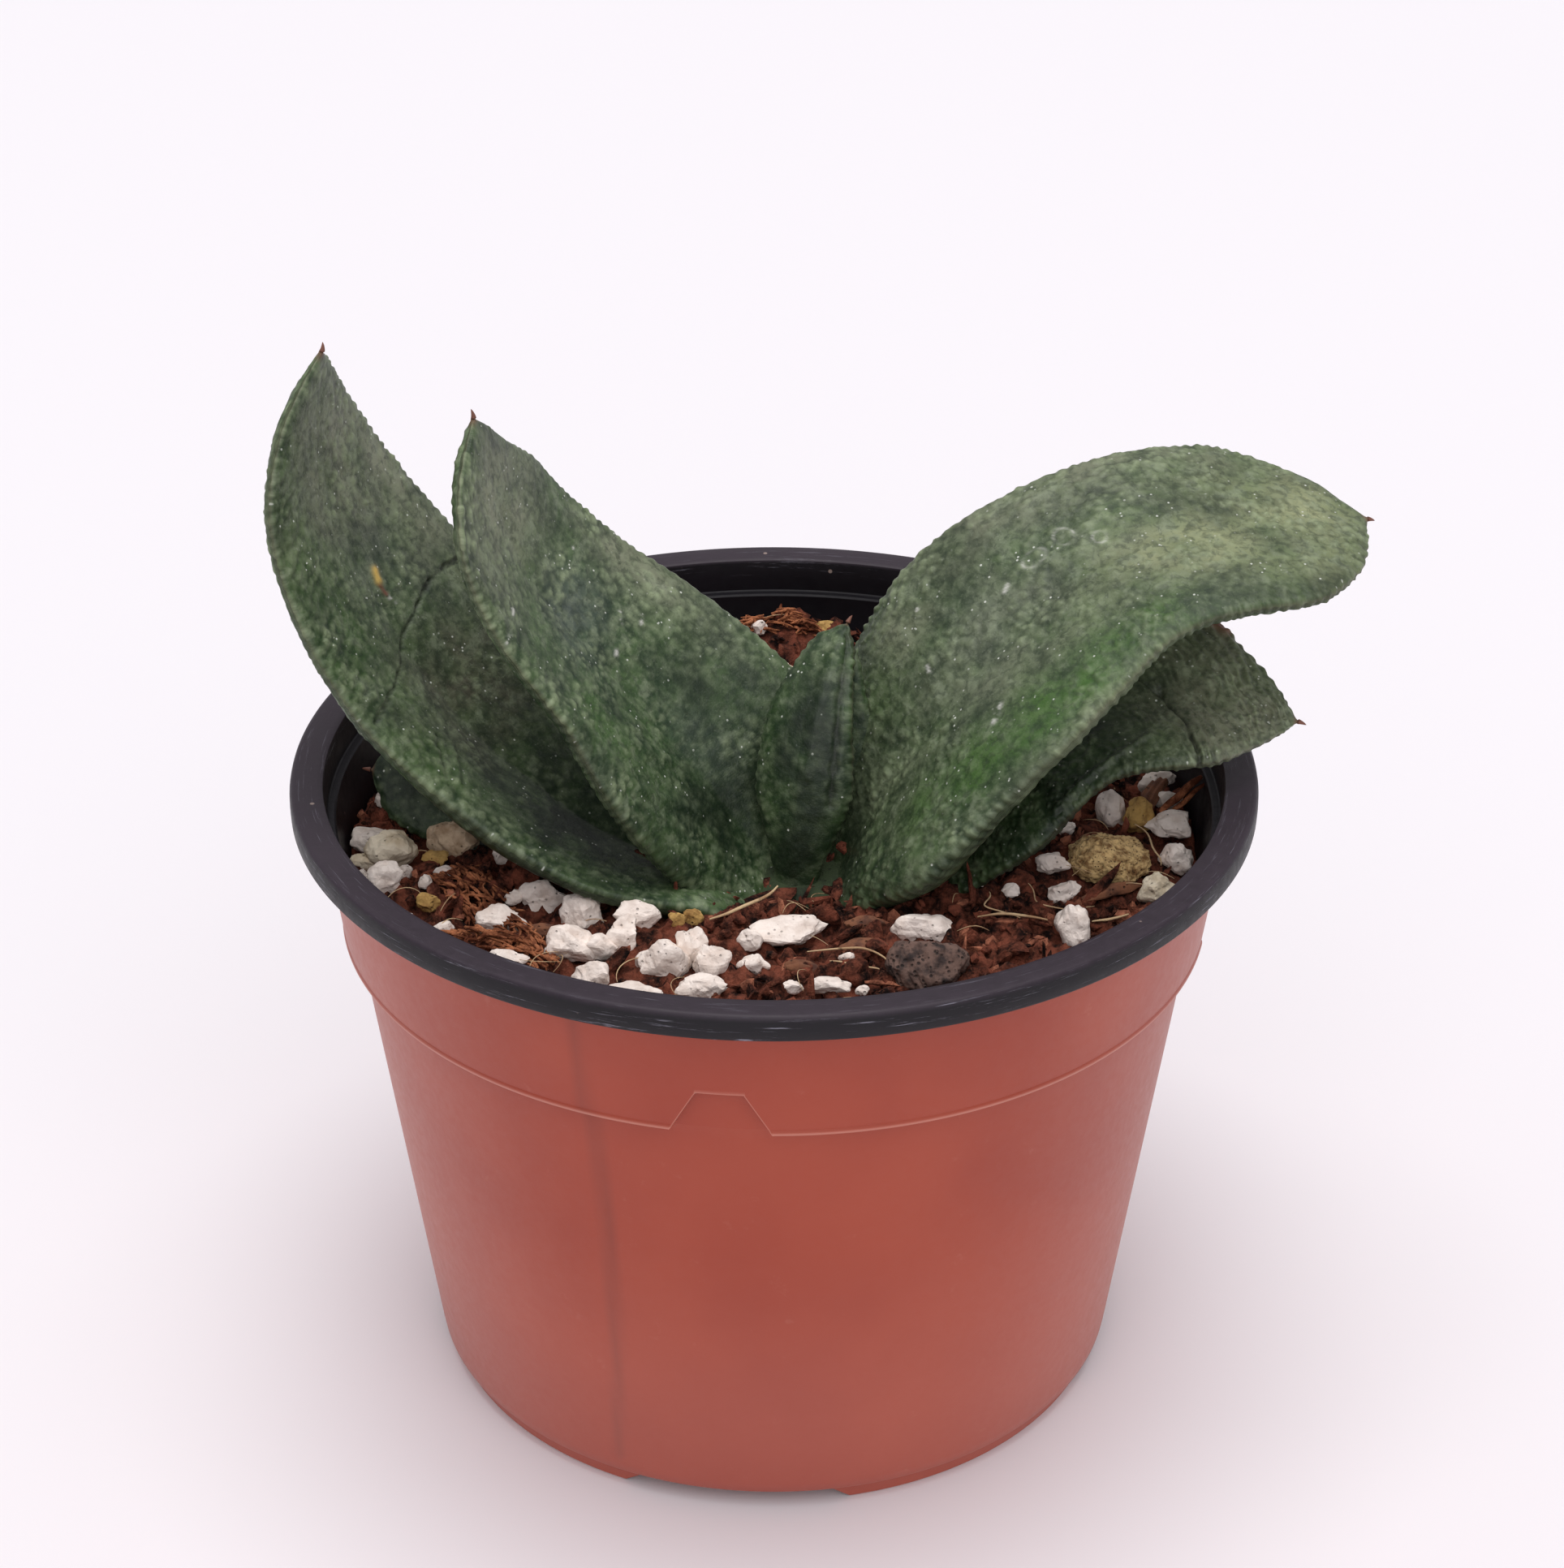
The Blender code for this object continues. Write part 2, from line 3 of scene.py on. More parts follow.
import bmesh
import bpy
import numpy as np
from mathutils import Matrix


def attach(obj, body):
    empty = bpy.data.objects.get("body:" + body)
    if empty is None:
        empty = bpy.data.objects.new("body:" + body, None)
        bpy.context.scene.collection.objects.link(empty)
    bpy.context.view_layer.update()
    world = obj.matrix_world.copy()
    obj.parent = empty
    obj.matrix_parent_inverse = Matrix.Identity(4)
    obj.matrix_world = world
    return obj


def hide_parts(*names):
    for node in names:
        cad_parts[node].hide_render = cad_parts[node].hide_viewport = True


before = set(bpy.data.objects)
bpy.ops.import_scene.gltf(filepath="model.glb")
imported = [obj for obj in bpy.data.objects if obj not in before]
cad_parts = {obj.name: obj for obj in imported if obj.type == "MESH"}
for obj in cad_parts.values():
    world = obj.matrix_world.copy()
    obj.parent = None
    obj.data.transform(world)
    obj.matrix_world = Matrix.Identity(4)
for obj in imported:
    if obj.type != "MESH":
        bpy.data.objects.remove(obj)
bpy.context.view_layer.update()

MM = 0.001
AXIS_X = -6.6           # pot axis in the row frame, in millimetres

# Pot, radii and heights in millimetres, as in the CAD
FOOT_Z, FOOT_R = 2.3, 39.4
WALL_R0, WALL_R1, STEP_Z = 40.6, 48.3, 57.0
BAND_R0, BAND_R1, LIP_Z = 49.7, 51.8, 71.9
RIM_R, RIM_Z, FLOOR_Z = 55.0, 75.0, 4.1
UNDER_Z = 2.4           # underside of the floor
REAR_LIFT = 1.5         # the rim stands a little higher at the back
PATTERN_DEG = -96.5     # angle of the first notch
NOTCH_TOP_Z = 62.5
NOTCH_W0, NOTCH_W1 = 10.6, 4.7
NOTCH_R = 48.6          # radius at which the notch widths are taken
FOOT_GAP_DEG = (19.5, 14.5)
GAP_Z = 2.05            # height of the crease over a foot gap
DRAIN_DEG, DRAIN_R = 13.0, (27, 34)
PAIR_DEG = 0.16         # half the angle between the two columns at a sharp side
NOTCH_COLUMN = 7        # the column just outside a notch
LIP_ROWS = 13           # rows of the profile from the lip's face to the inner edge of the rim
SOIL_Z = 66.0
CRUMB_REACH, GRAIN_REACH, ROOTLET_REACH, ROOTLET_LIMIT, COIR_LIMIT = 48.6, 47.5, 46.5, 48.3, 49.2
MAX_GRAINS = 105        # measured and seeded grains together

# Knots along a leaf, as fractions of its length
PITCH_T = (0, 0.25, 0.5, 0.75, 1)
TURN_T = (0, 0.5, 1)
WIDTH_T = (0, 0.15, 0.35, 0.6, 0.8, 0.92, 1)
THICK_T = (0, 0.3, 0.6, 0.85, 1)

# The same leaves as in the CAD, in millimetres and degrees
LEAVES = {
    "leaf_young_centre": dict(
        base=(2.8, -7.5, 64.9), length=29.5, pitch=(83, 77, 65, 48, 50), yaw=(14, 20, 38), roll=(4, 2, -2),
        front=(2.7, 4.2, 5.8, 5.6, 4.3, 3.0), back=(2.4, 4.0, 5.5, 4.5, 3.0, 1.7), cup=(-0.1, -0.08),
        over=(1.6, 2.2, 1.9, 1.3, 0.6), under=(1.6, 2.2, 1.9, 1.3, 0.6), hand=1),
    "leaf_young_behind": dict(
        base=(6.6, 0.2, 64.0), length=24.5, pitch=(85, 82, 74, 70, 74), yaw=(20, 15, 20), roll=(-12, -8, 0),
        front=(3.0, 4.2, 4.4, 3.8, 2.6, 1.7), back=(3.0, 4.6, 4.7, 3.8, 2.5, 1.5), cup=(0.1, 0.05),
        over=(1.2, 1.4, 1.2, 0.9, 0.5), under=(1.4, 1.6, 1.3, 0.9, 0.5), hand=1),
    "leaf_front_left": dict(
        base=(-3.1, -3.9, 64.5), length=62.9, pitch=(57, 51, 51, 71, 91), yaw=(-74, -92, -91),
        roll=(27, 16, 13), front=(10.0, 14.6, 16.9, 14.0, 13.3, 8.8),
        back=(13.2, 18.1, 18.4, 17.3, 13.9, 6.6), cup=(0.36, 0.04),
        over=(2.6, 2.0, 1.6, 1.2, 0.7), under=(3.6, 3.4, 2.6, 1.9, 0.9), hand=1),
    "leaf_arching_right": dict(
        base=(9.9, -4.9, 63.8), length=78.5, pitch=(63, 57, 33, 0, -6), yaw=(90, 67, 70),
        roll=(13, 14, 12), front=(9.9, 18.5, 18.5, 14.8, 15.6, 10.3),
        back=(13.5, 17.5, 18.0, 15.2, 14.4, 8.8), cup=(0.23, 0.07),
        over=(2.8, 2.2, 1.9, 1.6, 0.9), under=(4.2, 4.6, 3.6, 2.6, 1.1), hand=-1),
    "leaf_tall_left": dict(
        base=(-9.3, -6.3, 63.3), length=81.3, pitch=(12, 37, 52, 75, 111), yaw=(-86, -69, -77),
        roll=(5, 2, 1), front=(12.6, 15.6, 15.3, 15.2, 13.9, 8.9), back=(11.3, 15.0, 18.2, 18.9, 14.2, 7.4),
        cup=(0.36, -0.01), over=(2.0, 1.8, 1.6, 1.3, 0.7), under=(3.4, 3.4, 2.8, 2.0, 0.9), hand=1),
    "leaf_old_right": dict(
        base=(12.5, -6.5, 66.0), length=23.0, pitch=(44, 42, 38, 34, 30), yaw=(94, 96, 98),
        roll=(10, 10, 8), front=(4.5, 5.2, 5.4, 4.8, 3.8, 2.6), back=(4.5, 5.2, 5.4, 4.8, 3.8, 2.6),
        cup=(0.12, 0.05), over=(0.8, 0.8, 0.7, 0.7, 0.6), under=(1.2, 1.2, 1.0, 0.8, 0.6), hand=-1),
    "leaf_low_right": dict(
        base=(12.6, -2.8, 61.5), length=54.6, pitch=(50, 46, 23, -1, -10), yaw=(74, 89, 95),
        roll=(18, 26, 16), front=(9.3, 13.4, 16.1, 10.8, 9.6, 5.2), back=(8.9, 11.5, 13.8, 14.5, 12.4, 6.4),
        cup=(0.26, 0.11), over=(2.0, 1.6, 1.3, 1.1, 0.7), under=(3.2, 3.2, 2.4, 1.6, 0.9), hand=-1),
    "leaf_low_left": dict(
        base=(-8.0, 0.5, 61.8), length=40.0, pitch=(20, 18, 16, 12, 8), yaw=(-85, -86, -86),
        roll=(20, 48, 58), front=(5.5, 7.0, 7.6, 7.8, 6.8, 5.0), back=(5.5, 7.0, 7.6, 7.8, 6.8, 5.0),
        cup=(0.15, 0.05), over=(1.3, 1.3, 1.2, 1.1, 0.8), under=(1.6, 1.6, 1.4, 1.2, 0.8), hand=1),
}
ROOT_ROWS = 22
BIG_LEAVES = ("leaf_tall_left", "leaf_front_left", "leaf_arching_right", "leaf_low_right")
# Rings along a leaf, points across its upper face and across its lower face
BIG_GRID, SMALL_GRID = (410, 150, 72), (240, 90, 50)
UNDERSIDE_U = 60        # how far the relief of the underside lies from that of the top, in millimetres
UV_SPAN = 100           # millimetres in one unit of the leaf's UV

# How each leaf base runs on into the mix: direction and length in millimetres
ROOTS = {
    "leaf_tall_left": ((0.88, -0.25, -0.4), 8.0), "leaf_front_left": ((0.42, -0.3, -0.86), 8.5),
    "leaf_arching_right": ((-0.74, -0.25, -0.6), 9.0), "leaf_young_centre": ((-0.12, -0.3, -0.95), 7.0),
    "leaf_young_behind": ((0.0, 0.0, -1.0), 3.0), "leaf_low_right": ((-0.7, 0.0, -0.7), 4.0),
    "leaf_low_left": ((0.9, 0.0, -0.4), 4.0), "leaf_old_right": ((-0.7, 0.0, -0.7), 3.0),
}

# Painted patches on a leaf by kind: place along and across (front margin 1, back margin -1), reach along and
# across, strength
PATCHES = {
    "leaf_tall_left": dict(
        brown=[(0.43, -0.1, 0.13, 0.9, 0.9)],
        dust_and_sheen=[(0.74, -0.75, 0.2, 0.35, 1.0), (0.84, -0.1, 0.16, 1.0, 1.0)],
        fresh=[(0.66, 0.6, 0.16, 0.25, 0.6), (0.4, 0.7, 0.07, 0.3, 0.5)],
        dark=[(0.2, 0.35, 0.17, 1.0, 1.0), (0.48, 0.75, 0.04, 0.25, 0.6)],
        slate=[(0.68, -0.15, 0.1, 0.4, 0.6)]),
    "leaf_front_left": dict(
        slate=[(0.56, -0.1, 0.09, 0.45, 0.8), (0.24, -0.1, 0.1, 0.2, 0.7)],
        dark=[(0.5, 0.95, 0.1, 0.25, 0.6), (0.31, -0.5, 0.09, 0.4, 0.9), (0.13, 0.1, 0.15, 1.1, 1.0)],
        dust_and_sheen=[(0.5, -0.85, 0.2, 0.25, 0.9), (0.84, 0.0, 0.14, 1.0, 1.0)],
        fresh=[(0.44, 0.6, 0.07, 0.22, 0.5), (0.3, 0.1, 0.1, 0.3, 0.4)]),
    "leaf_arching_right": dict(
        fresh=[(0.58, 0.76, 0.08, 0.22, 0.75), (0.48, 0.78, 0.08, 0.24, 1.05),
               (0.38, 0.72, 0.08, 0.24, 1.2), (0.28, 0.62, 0.08, 0.24, 1.0), (0.18, 0.5, 0.08, 0.24, 0.6)],
        dust_and_sheen=[(0.43, 1.0, 0.15, 0.12, 0.9), (0.14, 0.2, 0.12, 0.9, 0.45), (0.31, -0.62, 0.07, 0.35, 0.8),
              (0.4, 0.0, 0.25, 0.8, 0.5), (0.56, -0.85, 0.3, 0.35, 0.8)],
        # the pale patches are painted light on the lit upper face of this leaf
        pale=[(0.71, 0.25, 0.15, 0.45, 1.0), (0.88, -0.2, 0.12, 0.8, 0.5), (0.9, 0.1, 0.16, 1.0, 0.95)],
        dark=[(0.77, 0.93, 0.14, 0.14, 0.7), (0.03, 0.4, 0.1, 1.1, 0.7), (0.42, -0.75, 0.08, 0.2, 0.5)],
        slate=[(0.4, -0.15, 0.1, 0.3, 0.6)]),
    "leaf_low_right": dict(
        dark=[(0.42, 0.3, 0.28, 1.8, 1.0)],
        brown=[(0.86, -0.2, 0.22, 1.6, 1.0)],
        dust_and_sheen=[(0.88, -0.2, 0.2, 1.6, 0.7)]),
    "leaf_young_centre": dict(
        dark=[(0.5, -0.1, 0.4, 0.8, 1.7), (0.1, 0.2, 0.35, 1.4, 1.1)],
        fresh=[(0.4, 0.7, 0.3, 0.3, 0.3)]),
    "leaf_young_behind": dict(
        dark=[(0.3, 0.0, 0.5, 1.2, 0.7)]),
    "leaf_old_right": dict(
        dark=[(0.4, -0.8, 0.6, 0.9, 1.0)],
        dust_and_sheen=[(0.5, 0.95, 0.6, 0.3, 1.0)]),
    "leaf_low_left": dict(
        dark=[(0.6, 0.0, 0.7, 1.8, 1.0)]),
}
# Their dark and light tone, in the order of painting
# The darkest kind is painted shade, at the leaf bases, along some margins and on leaves that lie in the shade
# of others
PATCH_TONES = (("brown", (62, 62, 48), (100, 96, 80)), ("slate", (54, 66, 62), (92, 100, 96)),
               # the grey kind is partly dust and partly painted sheen on the lit upper faces
               ("dust_and_sheen", (98, 106, 80), (146, 148, 126)), ("fresh", (20, 60, 10), (74, 116, 34)),
               ("dark", (6, 18, 8), (22, 40, 16)))

# Lines on a leaf by kind: half width and height in millimetres, then points as places along and across; the
# creases are also darkened with painted shade
LINES = {
    "leaf_tall_left": dict(
        crease=[
            (0.2, -0.42, (0.571, -1.0), (0.585, -0.68), (0.585, -0.5), (0.578, -0.38), (0.567, -0.27)),
            (0.18, -0.3, (0.567, -0.27), (0.549, -0.03), (0.524, 0.16), (0.506, 0.44), (0.49, 0.92)),
            (0.3, -0.3, (0.418, 0.48), (0.372, 0.83))],
        fold=[(0.5, 0.3, (0.4, 0.42), (0.355, 0.78))],
        yellow=[(0.5, 0.25, (0.65, -0.11), (0.636, -0.09))],
        rust=[(0.28, 0.1, (0.63, -0.08), (0.612, -0.1))],
        chalk=[(0.25, 0.1, (0.608, -0.1), (0.594, -0.13))]),
    "leaf_front_left": dict(
        chalk=[(0.22, 0.1, (0.694, 0.64), (0.69, 0.7)), (0.24, 0.1, (0.674, 0.9), (0.672, 0.97)),
               (0.2, 0.1, (0.63, -0.56), (0.622, -0.52)), (0.3, 0.1, (0.478, -0.41), (0.468, -0.37)),
               (0.25, 0.15, (0.45, -0.15), (0.446, -0.12)), (0.2, 0.1, (0.444, -0.5), (0.436, -0.46))],
        fold=[(0.9, 0.2, (0.52, 0.55), (0.36, 0.5), (0.22, 0.1)),
              (0.8, 0.25, (0.47, 0.85), (0.3, 0.75), (0.15, 0.35))]),
    "leaf_arching_right": dict(
        chalk=[(0.22, 0.1, (0.352, -0.68), (0.346, -0.62), (0.34, -0.64)),
               (0.22, 0.1, (0.46, -0.3), (0.45, -0.27)),
               (0.2, 0.1, (0.306, -0.3), (0.3, -0.25), (0.303, -0.2)),
               (0.3, 0.1, (0.345, 0.4), (0.325, 0.47))]),
    "leaf_low_right": dict(
        crease=[(0.26, -0.45, (0.65, -0.5), (0.667, -0.23), (0.72, -0.01), (0.761, 0.38), (0.789, 1.0)),
                (0.2, -0.3, (0.7, -0.21), (0.73, 0.12))],
        fold=[(0.45, 0.4, (0.681, 0.555), (0.616, 0.759), (0.542, 0.844), (0.436, 0.894))],
        rust=[(0.8, 0.4, (0.81, -0.97), (0.84, -0.97))]),
    "leaf_young_centre": dict(
        crease=[(0.42, -0.32, (0.95, -0.92), (0.8, -0.79), (0.64, -0.77), (0.49, -0.74), (0.3, -0.7))],
        fold=[(0.8, 0.3, (0.9, -0.2), (0.7, -0.25), (0.4, -0.2))]),
}
# Painted tones of a leaf, each a value per point
TONES = ("dust_and_sheen", "brown", "dark", "fresh", "pale", "slate", "rust", "crease", "chalk", "yellow")
# Strength of the bars across the front margin
BARS = {"leaf_tall_left": 1.0, "leaf_front_left": 0.45, "leaf_arching_right": 0.35, "leaf_low_right": 0.2}
# Ring stains on the arching leaf: place along and across, half axes in millimetres
RINGS = ((0.51, -0.34, 1.4, 1.0), (0.557, -0.36, 1.0, 1.3), (0.592, -0.19, 0.7, 0.9))

# Dark and pale tone of peat and coir
SOIL_TONES = {"soil": ((20, 10, 9), (136, 76, 58)), "coir": ((86, 46, 36), (190, 122, 94)),
              "coir_fibre": ((96, 50, 32), (204, 132, 92))}
# Pale and dark tone, size of the grain in millimetres and strength of the pits
STONE_TONES = {
    "perlite_white": ((246, 234, 224), (222, 206, 194), 0.9, 0.0),
    "perlite_cream": ((236, 224, 200), (204, 186, 156), 1.0, 0.0),
    "grain_ochre": ((196, 158, 92), (150, 112, 60), 0.6, 0.3),
    "grain_tan": ((214, 190, 160), (170, 140, 110), 0.8, 0.2),
    "pumice": ((216, 184, 128), (116, 82, 44), 0.4, 0.5), "lava": ((108, 84, 74), (42, 31, 29), 0.6, 1.0),
    "rootlet": ((206, 178, 138), (160, 124, 90), 1.5, 0.0), "bark": ((128, 82, 56), (80, 48, 36), 0.8, 0.3),
    "crown": ((52, 66, 38), (28, 38, 22), 1.0, 0.0),
}
GRAIN_PAINTS = {"white": "perlite_white", "cream": "perlite_cream", "ochre": "grain_ochre",
                "tan": "grain_tan"}

# Larger grains measured in the photo: x, y, width, height, and the kind of those that aren't white
GRAINS = [
    (-48.0, -2.4, 5.1, 2.9), (-43.6, -6.1, 5.5, 4.7, "cream"), (-47.9, -7.6, 3.6, 2.3, "cream"),
    (-46.8, -11.6, 1.9, 1.8), (-43.4, -13.8, 3.8, 3.6), (-41.6, -10.7, 1.6, 1.6),
    (-39.0, -13.5, 1.6, 1.5), (-36.9, -11.0, 2.3, 1.5), (-36.5, -2.4, 5.3, 4.2, "tan"),
    (-31.0, -6.4, 2.3, 2.3), (-38.4, -6.8, 2.8, 2.0, "ochre"), (-38.4, -17.7, 2.7, 2.0, "ochre"),
    (-40.6, -20.5, 1.8, 1.5), (-36.3, -22.7, 2.4, 1.7), (-30.2, -20.3, 4.9, 3.0),
    (-29.1, -15.2, 1.9, 1.7), (-25.7, -14.8, 4.9, 3.3), (-21.1, -19.6, 4.5, 3.9),
    (-28.9, -29.6, 4.0, 1.5), (-22.3, -27.3, 5.0, 4.0), (-19.2, -27.6, 3.3, 2.9),
    (-19.7, -32.8, 4.4, 3.0), (-16.6, -25.3, 4.1, 4.4), (-15.4, -21.3, 5.4, 3.2),
    (-10.6, -22.0, 2.0, 1.8, "ochre"), (-8.9, -21.3, 2.2, 2.0, "ochre"), (-12.1, -29.3, 5.4, 5.0),
    (-9.1, -26.7, 3.2, 3.9), (-6.7, -29.6, 3.7, 4.3), (-8.0, -34.4, 4.5, 3.2), (-14.9, -35.3, 5.6, 1.7),
    (1.4, -22.9, 7.8, 2.9), (-2.6, -25.0, 2.6, 2.5), (4.2, -20.4, 1.9, 1.8), (-2.0, -29.9, 3.3, 2.4),
    (2.0, -36.1, 2.1, 1.6), (5.9, -36.1, 4.0, 1.9), (9.4, -36.3, 1.3, 1.0), (8.1, -29.1, 1.9, 1.6),
    (16.6, -22.5, 5.6, 3.2), (23.2, -8.3, 2.6, 2.0), (22.7, -12.2, 2.3, 2.0), (26.5, -14.4, 2.0, 1.8),
    (31.5, -8.7, 3.8, 2.2), (32.7, -13.6, 3.4, 2.6), (32.7, -23.3, 3.8, 4.8), (39.2, 3.1, 3.8, 4.4),
    (42.1, 2.1, 3.6, 4.2, "ochre"), (43.1, -14.0, 4.6, 3.8, "cream"), (47.4, 0.5, 5.6, 2.3),
    (46.2, -7.4, 3.7, 3.3), (44.4, 10.6, 2.7, 2.2), (46.0, 11.5, 3.6, 2.4), (46.0, 6.8, 3.0, 2.2),
    (33.6, -1.1, 1.8, 1.6), (-1.7, 43.0, 2.0, 2.0), (1.6, 36.5, 2.0, 1.7, "cream"),
]
# Bark pieces: ends of the middle line, width
BARK = [((0.8, -31.5), (5.0, -32.4), 1.9), ((7.8, -20.8), (12.3, -20.6), 2.0),
        ((42.0, 2.0), (46.5, 13.0), 2.4), ((34.5, -15.5), (41.0, -12.0), 1.7),
        ((-27.0, -23.0), (-23.2, -23.6), 1.8), ((7.4, -26.2), (12.6, -27.0), 2.6)]
# The two largest stones: x, y, z, radius
PUMICE = (38.0, -7.9, 66.9, 4.1)
LAVA = (16.5, -31.1, 66.7, 4.4)

# Rootlets and straws seen in the photo: middle-line points x, y and height above the mix, then radius
FIBRES = [
    ([(0.4, -15.5, 3.0), (-1.6, -18.0, 1.8), (-4.6, -20.6, 1.0), (-7.2, -22.6, 0.8)], 0.2),
    ([(22.4, -21.5, 0.9), (26.0, -20.8, 1.2), (30.0, -22.0, 1.0)], 0.17),
    ([(35.0, -22.0, 0.9), (39.0, -21.0, 1.1)], 0.16),
    ([(41.4, -1.5, 1.0), (43.2, -5.6, 1.2), (43.6, -9.5, 1.0)], 0.12),
    ([(3.6, -28.5, 1.0), (9.2, -28.2, 1.3), (12.9, -33.0, 1.0)], 0.13),
    ([(6.0, -31.5, 0.9), (11.2, -33.6, 1.1)], 0.12),
    ([(24.0, -16.0, 1.0), (23.5, -19.0, 1.3), (27.0, -21.5, 0.9)], 0.1),
    ([(34.0, -19.5, 0.9), (29.6, -17.5, 1.2), (28.4, -13.5, 0.9)], 0.09),
]
# Coir mats: middle, heading in degrees, half length, half width, height
COIR = [(-33.5, -15.0, -60, 5.5, 3.4, 1.6), (-31.0, -26.3, -20, 6.2, 1.7, 2.0),
        (-27.6, -24.5, -65, 8.6, 1.6, 1.9), (-3.6, 43.5, 35, 3.0, 1.4, 2.4),
        (1.4, 43.2, -5, 3.2, 1.2, 2.2), (4.6, 41.6, -40, 2.6, 1.0, 1.6)]
# Brown sticks: two ends and radius
STICKS = [((44.6, 2.2, 67.2), (49.5, 4.8, 70.6), 0.5), ((45.4, 1.6, 67.0), (49.9, 4.2, 70.0), 0.32),
          ((0.6, 44.2, 71.2), (0.9, 44.8, 73.4), 0.22), ((-1.0, 43.6, 71.6), (0.7, 44.3, 72.6), 0.2),
          ((9.4, 40.0, 68.0), (7.6, 43.6, 71.4), 0.35)]

# Camera fitted to the photo: lens in millimetres, sideways shift, place in metres and tilt in degrees
SENSOR_WIDTH, LENS, SHIFT_X = 36, 87.68, 9.8 / 1932
CAMERA_Y, CAMERA_Z, CAMERA_TILT = -0.38388, 0.28101, 61.443
# Light: strength of the sky, then each lamp's name, where it shines from, spread in degrees, power and tint
SKY_STRENGTH = 0.52
LIGHTS = (("top_light", (0.0, 0.05, 1.0), 40, 1.5, (1, 0.985, 0.98)),
          ("front_light", (0.1, -0.9, 0.8), 60, 0.98, (1, 0.98, 0.99)))
FLOOR_REACH = 6.0       # half the width of the floor, in metres


# Repeatable noise

def lattice(cells, seed):
    """Pseudo-random value from 0 to 1 for each integer cell, the same in every run."""
    mixed = (cells[:, 0] * 374761393 + cells[:, 1] * 668265263 + cells[:, 2] * 1103515245
             + seed * 1274126177) & 0xFFFFFFFF
    mixed = ((mixed ^ (mixed >> 13)) * 1274126177) & 0xFFFFFFFF
    return ((mixed ^ (mixed >> 16)) & 0xFFFF) / 65535.0


def value_noise(points, seed=0):
    """Smoothly blended lattice values, from -1 to 1, at points given in cells."""
    base = np.floor(points).astype(np.int64)
    frac = points - base
    frac = frac * frac * (3 - 2 * frac)
    total = np.zeros(len(points))
    for dx in (0, 1):
        for dy in (0, 1):
            for dz in (0, 1):
                weight = (np.abs(1 - dx - frac[:, 0]) * np.abs(1 - dy - frac[:, 1])
                          * np.abs(1 - dz - frac[:, 2]))
                total += weight * lattice(base + (dx, dy, dz), seed)
    return total * 2 - 1


def fractal(points, scale, octaves=3, seed=0):
    """Sum of noise octaves, each half as strong and twice as fine; scale is in millimetres."""
    total, strength = np.zeros(len(points)), 1.0
    for octave in range(octaves):
        total += strength * value_noise(points / scale * 2**octave + 17.3 * octave, seed + octave)
        strength *= 0.5
    return total


def domes(u, v, pitch, radius, seed, keep=1.0):
    """Height from 0 to 1 of soft round bumps, (1 - r²)² each, scattered on a jittered grid. Keep is the share
    of the cells that hold one."""
    cell_u, cell_v = np.floor(u / pitch).astype(np.int64), np.floor(v / pitch).astype(np.int64)
    best = np.zeros(len(u))
    for du in (-1, 0, 1):
        for dv in (-1, 0, 1):
            cells = np.stack([cell_u + du, cell_v + dv, np.zeros_like(cell_u)], 1)
            jitter_u, jitter_v = lattice(cells, seed), lattice(cells, seed + 1)
            size = radius * (0.55 + 0.75 * lattice(cells, seed + 2))
            away = np.hypot(u - (cells[:, 0] + jitter_u) * pitch, v - (cells[:, 1] + jitter_v) * pitch)
            height = np.clip(1 - (away / size) ** 2, 0, 1) ** 2 * (lattice(cells, seed + 3) < keep)
            best = np.maximum(best, height * (0.5 + 0.5 * lattice(cells, seed + 4)))
    return best


def near_line(u, v, path):
    """Distance of each place to a broken line, all in millimetres."""
    best = np.full(len(u), 1e9)
    for (u0, v0), (u1, v1) in zip(path, path[1:]):
        du, dv = u1 - u0, v1 - v0
        f = np.clip(((u - u0) * du + (v - v0) * dv) / (du * du + dv * dv), 0, 1)
        best = np.minimum(best, np.hypot(u - u0 - f * du, v - v0 - f * dv))
    return best


def smooth_step(a, b, x):
    """0 below a, 1 above b, and an eased ramp between."""
    u = np.clip((x - a) / (b - a), 0, 1)
    return u * u * (3 - 2 * u)


def monotone(knots, values, t):
    """Monotone cubic through the knots, as in the CAD, for an array of places."""
    knots, values = np.array(knots, float), np.array(values, float)
    step, rise = np.diff(knots), np.diff(values) / np.diff(knots)
    slope = np.concatenate([[rise[0]], np.zeros(len(knots) - 2), [rise[-1]]])
    for i in range(1, len(knots) - 1):
        if rise[i - 1] * rise[i] > 0:
            a, b = 2 * step[i] + step[i - 1], step[i] + 2 * step[i - 1]
            slope[i] = (a + b) / (a / rise[i - 1] + b / rise[i])
    i = np.clip(np.searchsorted(knots, t, "right") - 1, 0, len(step) - 1)
    h, u = step[i], (t - knots[i]) / step[i]
    return ((2 * u**3 - 3 * u**2 + 1) * values[i] + (u**3 - 2 * u**2 + u) * h * slope[i]
            + (3 * u**2 - 2 * u**3) * values[i + 1] + (u**3 - u**2) * h * slope[i + 1])


# Meshes

def new_object(name, data):
    """Object linked to the scene."""
    obj = bpy.data.objects.new(name, data)
    bpy.context.scene.collection.objects.link(obj)
    return obj


